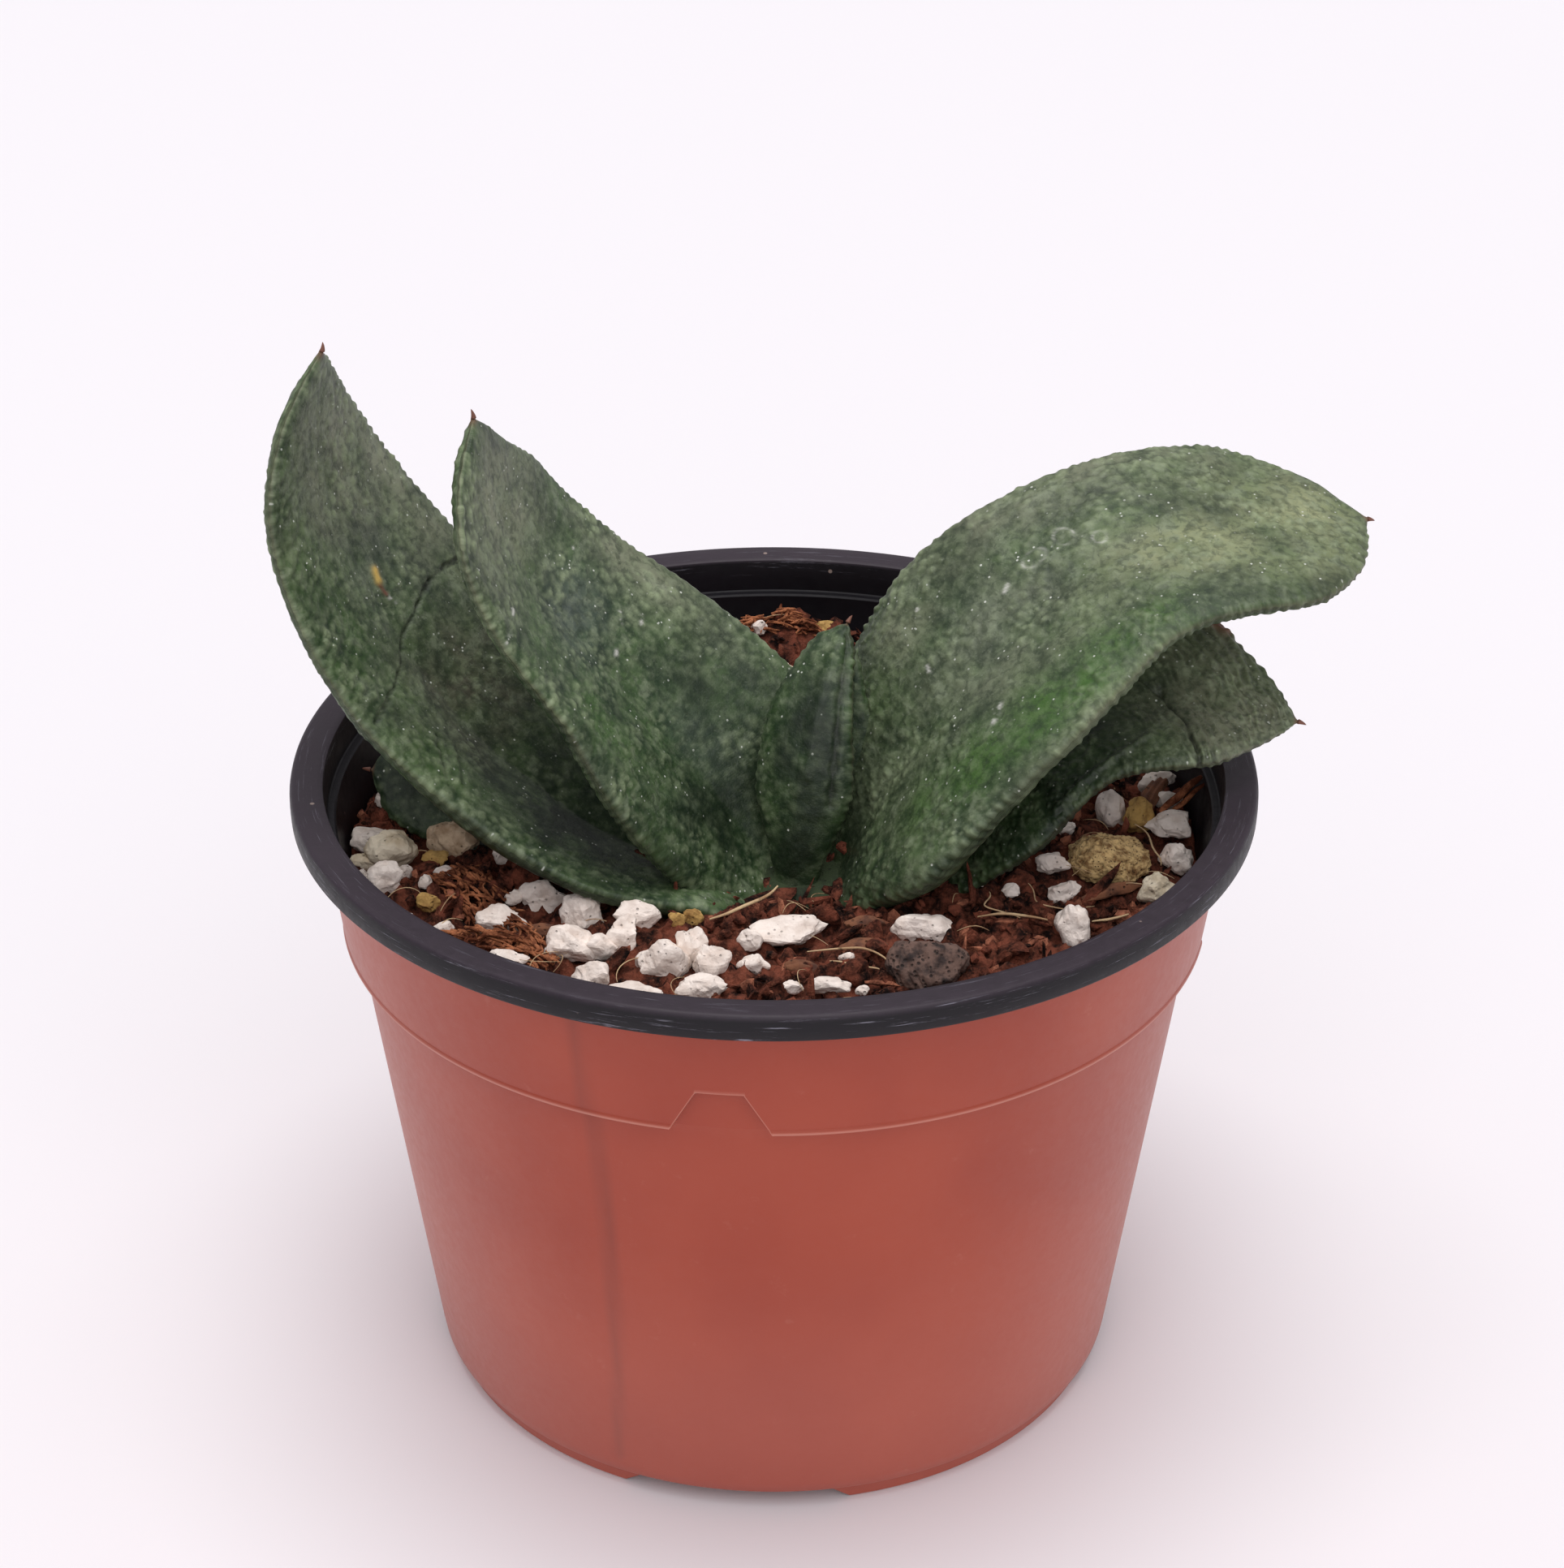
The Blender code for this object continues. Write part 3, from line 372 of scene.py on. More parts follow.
def add_mesh(name, points, faces, mat, slot, nodes=(), uv=None, smooth=True, **values):
    """Piece from points in millimetres about the pot axis, with named per-point values."""
    mesh = bpy.data.meshes.new(name)
    placed = (np.asarray(points, float) + (AXIS_X, 0, 0)) * MM
    mesh.vertices.add(len(placed))
    mesh.vertices.foreach_set("co", placed.astype(np.float32).ravel())
    groups = faces if isinstance(faces, list) else [faces]
    flat = np.concatenate([g.ravel() for g in groups])
    starts, offset = [], 0
    for g in groups:
        starts.append(offset + np.arange(len(g)) * g.shape[1])
        offset += g.size
    mesh.loops.add(len(flat))
    mesh.loops.foreach_set("vertex_index", flat.astype(np.int32))
    mesh.polygons.add(sum(len(g) for g in groups))
    mesh.polygons.foreach_set("loop_start", np.concatenate(starts).astype(np.int32))
    mesh.polygons.foreach_set("use_smooth", np.full(len(mesh.polygons), smooth))
    mesh.update(calc_edges=True)
    for key, value in values.items():
        layer = mesh.attributes.new(key, "FLOAT", "POINT")
        layer.data.foreach_set("value", np.asarray(value, np.float32))
    if uv is not None:
        layer = mesh.uv_layers.new(name="skin")
        layer.data.foreach_set("uv", uv[flat].astype(np.float32).ravel())
    mesh.validate()
    mesh.materials.append(mat)
    obj = new_object(name, mesh)
    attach(obj, "root")
    if nodes:
        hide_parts(*nodes)
    return obj


def grid_faces(rows, columns):
    """Quads between rows of points, each row closed into a ring."""
    i, j = np.meshgrid(np.arange(rows - 1), np.arange(columns), indexing="ij")
    k = (j + 1) % columns
    return np.stack([i * columns + j, i * columns + k, (i + 1) * columns + k, (i + 1) * columns + j],
                    -1).reshape(-1, 4)


def grid_normals(points, outward):
    """Unit normals of a ring grid of points, turned to agree with the outward hints."""
    along = np.gradient(points, axis=0)
    round_ring = np.roll(points, -1, 1) - np.roll(points, 1, 1)
    normal = np.cross(along, round_ring)
    normal /= np.linalg.norm(normal, axis=-1, keepdims=True) + 1e-12
    flip = np.sign(np.sum(normal * outward, -1, keepdims=True))
    return normal * np.where(flip == 0, 1, flip)


BALLS = {}


def ball(level):
    """Points and triangles of a unit icosphere."""
    if level not in BALLS:
        bm = bmesh.new()
        bmesh.ops.create_icosphere(bm, subdivisions=level, radius=1)
        BALLS[level] = (np.array([v.co[:] for v in bm.verts]),
                        np.array([[v.index for v in f.verts] for f in bm.faces]))
        bm.free()
    return BALLS[level]


def spin(rng):
    """Random rotation matrix."""
    q = rng.normal(size=4)
    a, b, c, d = q / np.linalg.norm(q)
    return np.array([[1 - 2 * (c * c + d * d), 2 * (b * c - a * d), 2 * (b * d + a * c)],
                     [2 * (b * c + a * d), 1 - 2 * (b * b + d * d), 2 * (c * d - a * b)],
                     [2 * (b * d - a * c), 2 * (c * d + a * b), 1 - 2 * (b * b + c * c)]])


def lump(level, size, rng, rough=0.22, facets=5, seed=0, cut=(0.72, 0.95)):
    """Broken stone: a ball cut back by a few random planes, then roughened; size is its three half axes."""
    points, faces = ball(level)
    reach = np.ones(len(points))
    for _ in range(facets):
        axis = rng.normal(size=3)
        axis /= np.linalg.norm(axis)
        depth = rng.uniform(*cut)
        reach = np.minimum(reach, depth / np.maximum(points @ axis, 0.15))
    reach *= 1 + rough * 0.5 * fractal(points + seed * 3.1, 0.9, 3, seed)
    return (points * reach[:, None]) * size, faces


def join(parts):
    """One set of points and triangles from several."""
    points, faces, offset = [], [], 0
    for p, f in parts:
        points.append(p)
        faces.append(f + offset)
        offset += len(p)
    return np.concatenate(points), np.concatenate(faces)


# Materials

class Paint:
    """Small builder for a Principled material."""

    def __init__(self, name):
        self.mat = bpy.data.materials.new(name)
        self.mat.use_nodes = True
        self.tree = self.mat.node_tree
        self.shader = self.tree.nodes["Principled BSDF"]

    def put(self, socket, value):
        """Link a socket to an output, or set its own value."""
        if isinstance(value, bpy.types.NodeSocket):
            self.tree.links.new(value, socket)
        elif isinstance(value, tuple) and socket.type == "RGBA":
            socket.default_value = (*value, 1)
        else:
            socket.default_value = value

    def set(self, **inputs):
        """Set the shader's inputs, with underscores for the spaces in their names."""
        for key, value in inputs.items():
            self.put(self.shader.inputs[key.replace("_", " ")], value)
        return self.mat

    def node(self, kind, output, inputs=None, **settings):
        """Output of a new node with these settings and inputs."""
        node = self.tree.nodes.new("ShaderNode" + kind)
        for key, value in settings.items():
            setattr(node, key, value)
        for key, value in (inputs or {}).items():
            self.put(node.inputs[key], value)
        return node.outputs[output]

    def attribute(self, name):
        return self.node("Attribute", "Fac", attribute_name=name)

    def stretch(self, vector, scale):
        return self.node("VectorMath", "Vector", {0: vector, 1: scale}, operation="MULTIPLY")

    def skin_uv(self):
        """The piece's own UV, in millimetres."""
        return self.stretch(self.node("UVMap", "UV", uv_map="skin"), (UV_SPAN,) * 3)

    def place(self):
        """Object coordinates in millimetres."""
        return self.stretch(self.node("TexCoord", "Object"), (1 / MM,) * 3)

    def around_axis(self, place):
        """Coordinates (3 r - 3 z, 0.12 x, 0.12 y), fast up and outwards and slow round the pot."""
        centred = self.node("VectorMath", "Vector", {0: place, 1: (-AXIS_X, 0, 0)}, operation="ADD")
        reach = self.node("VectorMath", "Value", {0: self.stretch(centred, (3, 3, 0))}, operation="LENGTH")
        split = self.tree.nodes.new("ShaderNodeSeparateXYZ")
        self.put(split.inputs[0], self.stretch(place, (0.12, 0.12, 3)))
        x, y, z = split.outputs
        return self.node("CombineXYZ", "Vector", {"X": self.math("SUBTRACT", reach, z), "Y": x, "Z": y})

    def noise(self, vector, size, detail=3, rough=0.5, distortion=0.0):
        """Noise from 0 to 1 with features of about this size in millimetres."""
        return self.node("TexNoise", "Fac", {"Vector": vector, "Scale": 1 / size, "Detail": detail,
                                             "Roughness": rough, "Distortion": distortion})

    def cells(self, vector, size):
        """Distance to the nearest of scattered points, as a share of their spacing in millimetres."""
        return self.node("TexVoronoi", "Distance", {"Vector": vector, "Scale": 1 / size})

    def ramp(self, value, low, high, out_low=0.0, out_high=1.0):
        """Eased step from out_low at low to out_high at high."""
        return self.node("MapRange", "Result", {"Value": value, "From Min": low, "From Max": high,
                                                "To Min": out_low, "To Max": out_high},
                         interpolation_type="SMOOTHSTEP")

    def math(self, operation, a, b):
        return self.node("Math", 0, {0: a, 1: b}, operation=operation, use_clamp=operation != "SUBTRACT")

    def times(self, first, *factors):
        """Product of the values."""
        for factor in factors:
            first = self.math("MULTIPLY", first, factor)
        return first

    def mix(self, factor, a, b):
        return self.node("Mix", "Result", {"Factor": factor, "A": a, "B": b}, data_type="RGBA")

    def tint(self, colour, tone, *factors):
        """Colour moved towards an 8-bit tone, or an output, by the product of the factors."""
        return self.mix(self.times(*factors), colour, rgb(*tone) if isinstance(tone, tuple) else tone)

    def blend(self, factor, dark, light):
        """Colour between two 8-bit tones."""
        return self.mix(factor, rgb(*dark), rgb(*light))

    def bump(self, height, distance):
        """Normal of a height of this many millimetres."""
        return self.node("Bump", "Normal", {"Distance": distance * MM, "Strength": 1.0, "Height": height})


def rgb(red, green, blue):
    """Linear colour from 8-bit sRGB."""
    return tuple(c / 12.92 if c <= 0.04045 else ((c + 0.055) / 1.055) ** 2.4
                 for c in (red / 255, green / 255, blue / 255))


def leaf_paint():
    """Leaf skin: dark green with soft pale tubercles, grey patches of dust and painted sheen, brown and
    bright patches, painted light and painted shade in patches, painted shade in the creases, and painted
    glints.
    """
    p = Paint("leaf_skin")
    uv = p.skin_uv()
    slow, middle = p.noise(uv, 7, 3, 0.6), p.noise(uv, 3.4, 4, 0.6)
    mottle, fine = p.noise(uv, 1.7, 4, 0.65), p.noise(uv, 0.45, 4, 0.65)
    colour = p.blend(p.ramp(slow, 0.36, 0.64), (24, 48, 22), (68, 92, 52))
    # painted light on the lit upper face of the arching leaf
    colour = p.tint(colour, (150, 156, 116), p.attribute("pale"))
    # patch tones; the darkest one is painted shade
    for kind, dark, light in PATCH_TONES:
        colour = p.tint(colour, p.blend(mottle, dark, light), p.attribute(kind))
    # tubercles are muted under the bright green and under the painted shade
    covered = p.math("MAXIMUM", p.attribute("fresh"), p.attribute("dark"))
    clear = p.math("SUBTRACT", 1.0, p.times(covered, 0.8))
    colour = p.tint(colour, (20, 38, 22), p.ramp(middle, 0.48, 0.32), 0.42)
    colour = p.tint(colour, (128, 138, 116), p.ramp(middle, 0.52, 0.68), clear, 0.4)
    colour = p.tint(colour, (116, 128, 100), p.ramp(mottle, 0.44, 0.64), clear, 0.3)
    colour = p.tint(colour, (20, 38, 18), p.ramp(p.noise(uv, 1.1, 3, 0.6, 0.6), 0.56, 0.36), 0.5)
    dots = p.times(p.attribute("spot"), clear, p.ramp(fine, 0.25, 0.6, 0.5, 1.0))
    colour = p.tint(colour, (146, 160, 124), dots, p.ramp(p.noise(uv, 10, 2), 0.35, 0.65, 0.4, 1.0), 0.74)
    # painted glints: tiny white highlights scattered over the skin
    painted_glints = p.ramp(p.cells(uv, 0.95), 0.18, 0.08)
    colour = p.tint(colour, (214, 218, 208), painted_glints, p.ramp(p.noise(uv, 4, 3), 0.5, 0.62), 0.85)
    colour = p.tint(colour, (150, 158, 138), p.ramp(fine, 0.55, 0.72), clear, 0.2)
    colour = p.tint(colour, (206, 206, 198), p.attribute("chalk"))
    colour = p.tint(colour, p.blend(fine, (84, 48, 38), (138, 92, 74)), p.attribute("rust"))
    colour = p.tint(colour, p.blend(fine, (196, 150, 60), (232, 206, 124)), p.attribute("yellow"))
    # painted shade in the creases
    colour = p.tint(colour, (16, 20, 14), p.attribute("crease"))
    height = p.math("ADD", p.times(p.attribute("spot"), 0.5), p.times(mottle, 0.5))
    height = p.math("ADD", p.times(height, 0.7), p.times(fine, 0.25))
    return p.set(Base_Color=colour, Roughness=p.ramp(fine, 0.2, 0.8, 0.42, 0.62), Normal=p.bump(height, 0.3),
                 Specular_IOR_Level=0.4)


def pot_paint():
    """Pot of two colours: terracotta outside with a painted reflection of the floor low down, painted sheen
    at the sides and a painted highlight along the step, near-black rim and lining, with scuffs and a stain.
    """
    p = Paint("pot_plastic")
    place = p.place()
    slow, fine = p.noise(place, 30, 3), p.noise(place, 1.2, 4, 0.65)
    lip, worn, lining = p.attribute("lip"), p.attribute("worn"), p.attribute("lining")
    outside = p.blend(p.ramp(slow, 0.3, 0.7), (152, 56, 34), (164, 67, 43))
    outside = p.tint(outside, (108, 46, 34), p.attribute("streak"), 0.6)
    # painted reflection of the floor low down and painted sheen at the sides
    outside = p.tint(outside, (206, 138, 126), p.attribute("painted_reflection"))
    outside = p.tint(outside, (196, 136, 118), p.ramp(p.noise(place, 4, 5, 0.7), 0.62, 0.78), 0.16)
    # painted highlight along the step and round the notches
    outside = p.tint(outside, (214, 150, 132), p.attribute("step_highlight"), 0.55)
    black = p.blend(p.ramp(slow, 0.35, 0.7), (13, 11, 16), (22, 19, 26))
    black = p.tint(black, p.blend(fine, (12, 10, 14), (26, 22, 28)), lip)
    black = p.tint(black, p.blend(fine, (40, 33, 40), (58, 49, 58)), worn)
    scuff = p.ramp(p.noise(p.around_axis(place), 1.0, 5, 0.75), 0.57, 0.7)
    scuff = p.times(p.math("MAXIMUM", worn, lip), scuff, p.ramp(lip, 0, 1, 0.35, 1.0))
    black = p.tint(black, (160, 158, 172), scuff, 0.6)
    black = p.tint(black, (176, 156, 146), p.ramp(p.cells(place, 4.5), 0.07, 0.04), 0.6)
    return p.set(Base_Color=p.mix(lining, outside, black), Coat_Weight=p.ramp(lining, 0, 1, 0.34, 0),
                 Roughness=p.ramp(fine, 0.2, 0.8, 0.42, 0.56), Specular_IOR_Level=0.28, Coat_Roughness=0.42,
                 Normal=p.bump(p.math("ADD", p.times(fine, 0.5), scuff), 0.04))


def soil_paint(name):
    """Peat or coir: reddish brown crumbs with dark gaps."""
    deep, pale = SOIL_TONES[name]
    p = Paint(name)
    place = p.place()
    coarse, fine = p.noise(place, 2.6, 4, 0.65), p.noise(place, 0.5, 4, 0.7)
    colour = p.blend(p.ramp(coarse, 0.35, 0.68), deep, pale)
    colour = p.tint(colour, (150, 96, 74), p.ramp(fine, 0.52, 0.75), 0.6)
    return p.set(Base_Color=colour, Roughness=0.92, Specular_IOR_Level=0.15,
                 Normal=p.bump(p.math("ADD", p.times(coarse, 0.5), fine), 0.5))


def stone_paint(name):
    """Mineral grain, root or bark: two tones, with pits darkened by painted shade."""
    pale, deep, grain_size, pit = STONE_TONES[name]
    p = Paint(name)
    place = p.place()
    coarse, fine = p.noise(place, grain_size * 2.5, 3, 0.6), p.noise(place, grain_size * 0.5, 4, 0.7)
    colour = p.blend(p.ramp(coarse, 0.3, 0.62), deep, pale)
    holes = p.ramp(p.cells(place, grain_size), 0.2 + 0.2 * pit, 0.05)
    holes = p.times(holes, p.ramp(p.noise(place, 2.1, 2), 0.36, 0.5))
    # painted shade in the pits
    colour = p.mix(p.times(holes, 0.55 + 0.4 * pit), colour, tuple(c * 0.14 for c in rgb(*deep)))
    height = p.math("SUBTRACT", p.times(fine, 0.5), p.times(holes, 0.6 + pit))
    return p.set(Base_Color=colour, Roughness=0.85, Normal=p.bump(height, 0.25))


# Leaves

def leaf_frame(spec, steps=600):
    """Places along the leaf with its spine points, front-side, upward and forward directions."""
    t = np.linspace(0, 1, steps + 1)
    pitch = np.radians(monotone(PITCH_T, spec["pitch"], t))
    yaw = np.radians(np.interp(t, TURN_T, spec["yaw"]))
    roll = np.radians(np.interp(t, TURN_T, spec["roll"]))[:, None]
    ahead = np.stack([np.cos(pitch) * np.sin(yaw), np.cos(pitch) * np.cos(yaw), np.sin(pitch)], 1)
    side = np.stack([-np.cos(yaw), np.sin(yaw), 0 * yaw], 1) * spec["hand"]
    normal = np.cross(ahead, side) * spec["hand"]
    step = (ahead[1:] + ahead[:-1]) * spec["length"] / steps / 2
    spine = np.vstack([[0, 0, 0], np.cumsum(step, 0)]) + spec["base"]
    return (t, spine, side * np.cos(roll) - normal * np.sin(roll),
            normal * np.cos(roll) + side * np.sin(roll), ahead)


def leaf_widths(spec, t):
    """Distances from the spine to the front and to the back margin."""
    return [monotone(WIDTH_T, (*spec[side], 0), t) for side in ("front", "back")]


def leaf_surface(spec, root, rows, upper, lower):
    """Ring grid of the bare leaf: places along t and across s, top mask, distance across, points and hints.
    The two faces are spine + side * across + up * (cup * |across| ± thickness * (1 - |s|^2.35)^0.4), and the
    thickness runs out over the last twentieth. Below t = 0 the spine runs on along a short curve."""
    t0, spine, side, up, ahead = leaf_frame(spec)
    way, depth = root
    t = 1 - (1 - np.linspace(0, 1, rows - ROOT_ROWS)) ** 1.25
    sunk = np.linspace(1, 0, ROOT_ROWS, endpoint=False)
    t = np.concatenate([np.zeros(ROOT_ROWS), np.minimum(t, 0.9985)])
    spine, side, up = (np.stack([np.interp(t, t0, a[:, i]) for i in range(3)], 1) for a in (spine, side, up))
    f = sunk[:, None]
    spine[:ROOT_ROWS] += depth * (np.array(way) * f * f - ahead[0] * f * (1 - f))
    narrow = np.concatenate([1 - 0.3 * sunk**2, np.ones(rows - ROOT_ROWS)])[:, None]
    v = np.concatenate([np.linspace(-1, 1, upper), np.linspace(1, -1, lower + 2)[1:-1]])
    s = 0.45 * v + 0.55 * np.sin(v * np.pi / 2)
    top = np.concatenate([np.ones(upper), np.zeros(lower)])
    thin = np.sqrt(np.clip((1 - t) / 0.05, 0.1, 1))[:, None]
    over = monotone(THICK_T, spec["over"], t)[:, None] * thin
    under = monotone(THICK_T, spec["under"], t)[:, None] * thin
    front, back = (width[:, None] for width in leaf_widths(spec, t))
    across = s * np.where(s > 0, front, back) * narrow
    body = np.clip(1 - np.abs(s) ** 2.353, 0, 1) ** 0.4
    cup = np.interp(t, (0, 1), spec["cup"])[:, None]
    lift = cup * np.abs(across) + np.where(top > 0.5, over, -under) * body
    points = spine[:, None] + side[:, None] * across[..., None] + up[:, None] * lift[..., None]
    hint = (up[:, None] * (np.where(top > 0.5, 1, -1) * body)[..., None]
            + side[:, None] * (np.sign(s) * (1 - body))[..., None])
    t[:ROOT_ROWS] = -sunk * depth / spec["length"]
    return t, s, top, across, points, hint


def make_mucro(spec, ring, upper, lower):
    """Rings of the small hard point at a leaf tip: radius 0.3 (1 - f)^0.7 at 1.1 f along the leaf's end."""
    spine, side, up, ahead = [a[-1] for a in leaf_frame(spec)[1:]]
    turn = np.concatenate([np.pi * (1 - np.arange(upper) / (upper - 1)),
                           -np.pi * np.arange(1, lower + 1) / (lower + 1)])
    spokes = side * np.cos(turn)[:, None] + up * np.sin(turn)[:, None]
    centre = ring.mean(0)
    return np.stack([centre + (ahead - 0.25 * f * up) * 1.1 * f + spokes * (0.3 * (1 - f) ** 0.7 + 0.02)
                     for f in np.linspace(0.12, 1, 9)])


def paint_patches(name, flat, place_t, place_s, seed):
    """Tones of the painted patches, strength * exp(-1.2 away²) each with an uneven edge."""
    tone = {kind: np.zeros(len(flat)) for kind in TONES}
    uneven = 0.8 + 0.45 * fractal(flat, 3.5, 2, seed + 3)
    for kind, patches in PATCHES[name].items():
        for at_t, at_s, reach_t, reach_s, strength in patches:
            away = ((place_t - at_t) / reach_t) ** 2 + ((place_s - at_s) / reach_s) ** 2
            tone[kind] = np.clip(np.maximum(tone[kind], strength * np.exp(-away * 1.2) * uneven), 0, 1)
    return tone


def draw_lines(name, flat, u, v, is_top, seed, tone):
    """Relief of the leaf's lines, height * exp(-(distance / half width)²) each, and their tones added; the
    tone of a crease is painted shade.
    """
    spec = LEAVES[name]
    relief = np.zeros(len(u))
    for kind, lines in LINES.get(name, {}).items():
        for width, height, *path in lines:
            knots = np.array(path)[:, 0]
            front, back = leaf_widths(spec, knots)
            line = [(at_s * (f if at_s > 0 else b), at_t * spec["length"])
                    for (at_t, at_s), f, b in zip(path, front, back)]
            wander = 0.25 * value_noise(flat / 1.3, seed + 5) if kind in ("crease", "fold") else 0
            mark = np.exp(-((near_line(u, v, line) + wander) / width) ** 2) * is_top
            relief += height * mark
            if kind == "chalk":
                mark *= 0.8 * smooth_step(-0.3, 0.3, value_noise(flat / 0.45, seed + 6))
            # painted shade in the crease, darker for a deeper crease
            if kind == "crease":
                mark *= min(1.0, -2.2 * height) * (0.7 + 0.3 * value_noise(flat / 1.2, seed + 8))
            if kind != "fold":
                tone[kind] = np.maximum(tone[kind], mark)
    if name == "leaf_arching_right":
        for at_t, at_s, reach_v, reach_u in RINGS:
            centre_u = at_s * np.interp(at_t, WIDTH_T, (*spec["back"], 0))
            away = np.hypot((u - centre_u) / reach_u, (v - at_t * spec["length"]) / reach_v)
            ring = np.exp(-((away - 1) * reach_u / 0.14) ** 2) * is_top
            tone["chalk"] = np.maximum(tone["chalk"], ring * (0.3 + 0.3 * value_noise(flat / 0.7, seed)))
    return relief


def make_leaf(name, mat):
    """Leaf with slow waves, lines, soft tubercles, a crenulated margin, a mucro and painted patches. Relief
    along the normal is a sum of noise, domes, margin bars sin(2 pi v / 1.8) and lines."""
    spec = LEAVES[name]
    rows, upper, lower = BIG_GRID if name in BIG_LEAVES else SMALL_GRID
    t, s, top, across, points, hint = leaf_surface(spec, ROOTS[name], rows, upper, lower)
    normal = grid_normals(points, hint)
    n_columns = len(s)
    seed = sorted(LEAVES).index(name) * 40 + 5
    is_top = np.tile(top, rows) > 0.5
    u0, v = across.ravel(), np.repeat(t * spec["length"], n_columns)
    u = u0 + np.where(is_top, 0, UNDERSIDE_U)
    flat = np.stack([u, v, 0 * u], 1)
    place_t, place_s = np.repeat(t, n_columns), np.tile(s, rows)
    edge = np.abs(place_s)
    soft = smooth_step(1.0, 0.9, edge)
    rough = smooth_step(-0.6, 0.5, value_noise(flat / 5, seed + 7)) * 0.75 + 0.25
    big_dots = domes(u, v, 1.3, 0.8, seed + 11, 0.7)
    dots = domes(u, v, 0.9, 0.5, seed + 21, 0.6)
    phase = (v + 0.45 * u0) / 1.8 + 0.7 * value_noise(flat / 3.5, seed + 9)
    bars = (0.5 + 0.5 * np.sin(2 * np.pi * phase)) * smooth_step(0.4, 0.8, place_s) * is_top
    bars *= 0.55 + 0.45 * value_noise(flat / 2.2, seed + 10)
    bars *= smooth_step(0.2, 0.4, place_t) * smooth_step(0.98, 0.85, place_t) * BARS.get(name, 0.25)
    crenel = 0.5 + 0.5 * np.sin(2 * np.pi * (v / 1.25 + 0.5 * value_noise(flat / 4, seed + 15)))
    crenel *= smooth_step(0.94, 1.0, edge) * (0.6 + 0.4 * value_noise(flat / 8, seed + 16))
    relief = (0.2 * big_dots + 0.1 * dots) * rough + 0.28 * crenel + 0.24 * bars * soft
    relief += 0.3 * fractal(flat, 11, 2, seed) * soft + 0.05 * fractal(flat, 1.1, 2, seed + 19)
    tone = paint_patches(name, flat, place_t, place_s, seed)
    relief += draw_lines(name, flat, u0, v, is_top, seed, tone)
    if name == "leaf_low_right":
        wrinkle = np.sin(2 * np.pi * ((v - 0.5 * u0) / 1.15 + 0.9 * value_noise(flat / 3, seed)))
        wrinkle *= smooth_step(0.5, 0.75, place_t) * soft * (0.6 + 0.4 * value_noise(flat / 2.5, seed + 1))
        relief += 0.11 * wrinkle
        big_dots = np.clip(0.3 * big_dots + 0.45 * wrinkle, 0, 1)
    relief *= smooth_step(1.0, 0.97, place_t)
    moved = points.reshape(-1, 3) + normal.reshape(-1, 3) * relief[:, None]
    margin = 0.12 * smooth_step(0.99, 1.0, edge) * smooth_step(0.15, 0.5, place_t)
    tone["rust"] = np.maximum.reduce([tone["rust"], 0.7 * smooth_step(0.985, 1.0, place_t), margin])
    tone["spot"] = np.clip((1.15 * big_dots + 0.8 * dots) * rough + 0.5 * bars + 0.4 * crenel, 0, 1)
    point_rings = make_mucro(spec, points[-1], upper, lower)
    extra = len(point_rings) * n_columns
    moved = np.vstack([moved, point_rings.reshape(-1, 3), points[0].mean(0), point_rings[-1].mean(0)])
    rows += len(point_rings)
    centre_low = rows * n_columns
    ring = np.arange(n_columns)
    following = (ring + 1) % n_columns
    start = (rows - 1) * n_columns
    first = np.stack([np.full(n_columns, centre_low), following, ring], 1)
    last = np.stack([np.full(n_columns, centre_low + 1), start + ring, start + following], 1)
    uv = np.stack([u, v], 1) / UV_SPAN
    uv = np.vstack([uv, np.tile(uv[-1:], (extra, 1)), uv[:1], uv[-1:]])
    values = {}
    for key, value in tone.items():
        end = 1.0 if key == "rust" else 0.0
        values[key] = np.concatenate([value, np.full(extra, end), [value[0], end]])
    faces = [grid_faces(rows, n_columns), first, last]
    add_mesh(name + "_skin", moved, faces, mat, "leaf", (name,), uv, **values)


# Pot

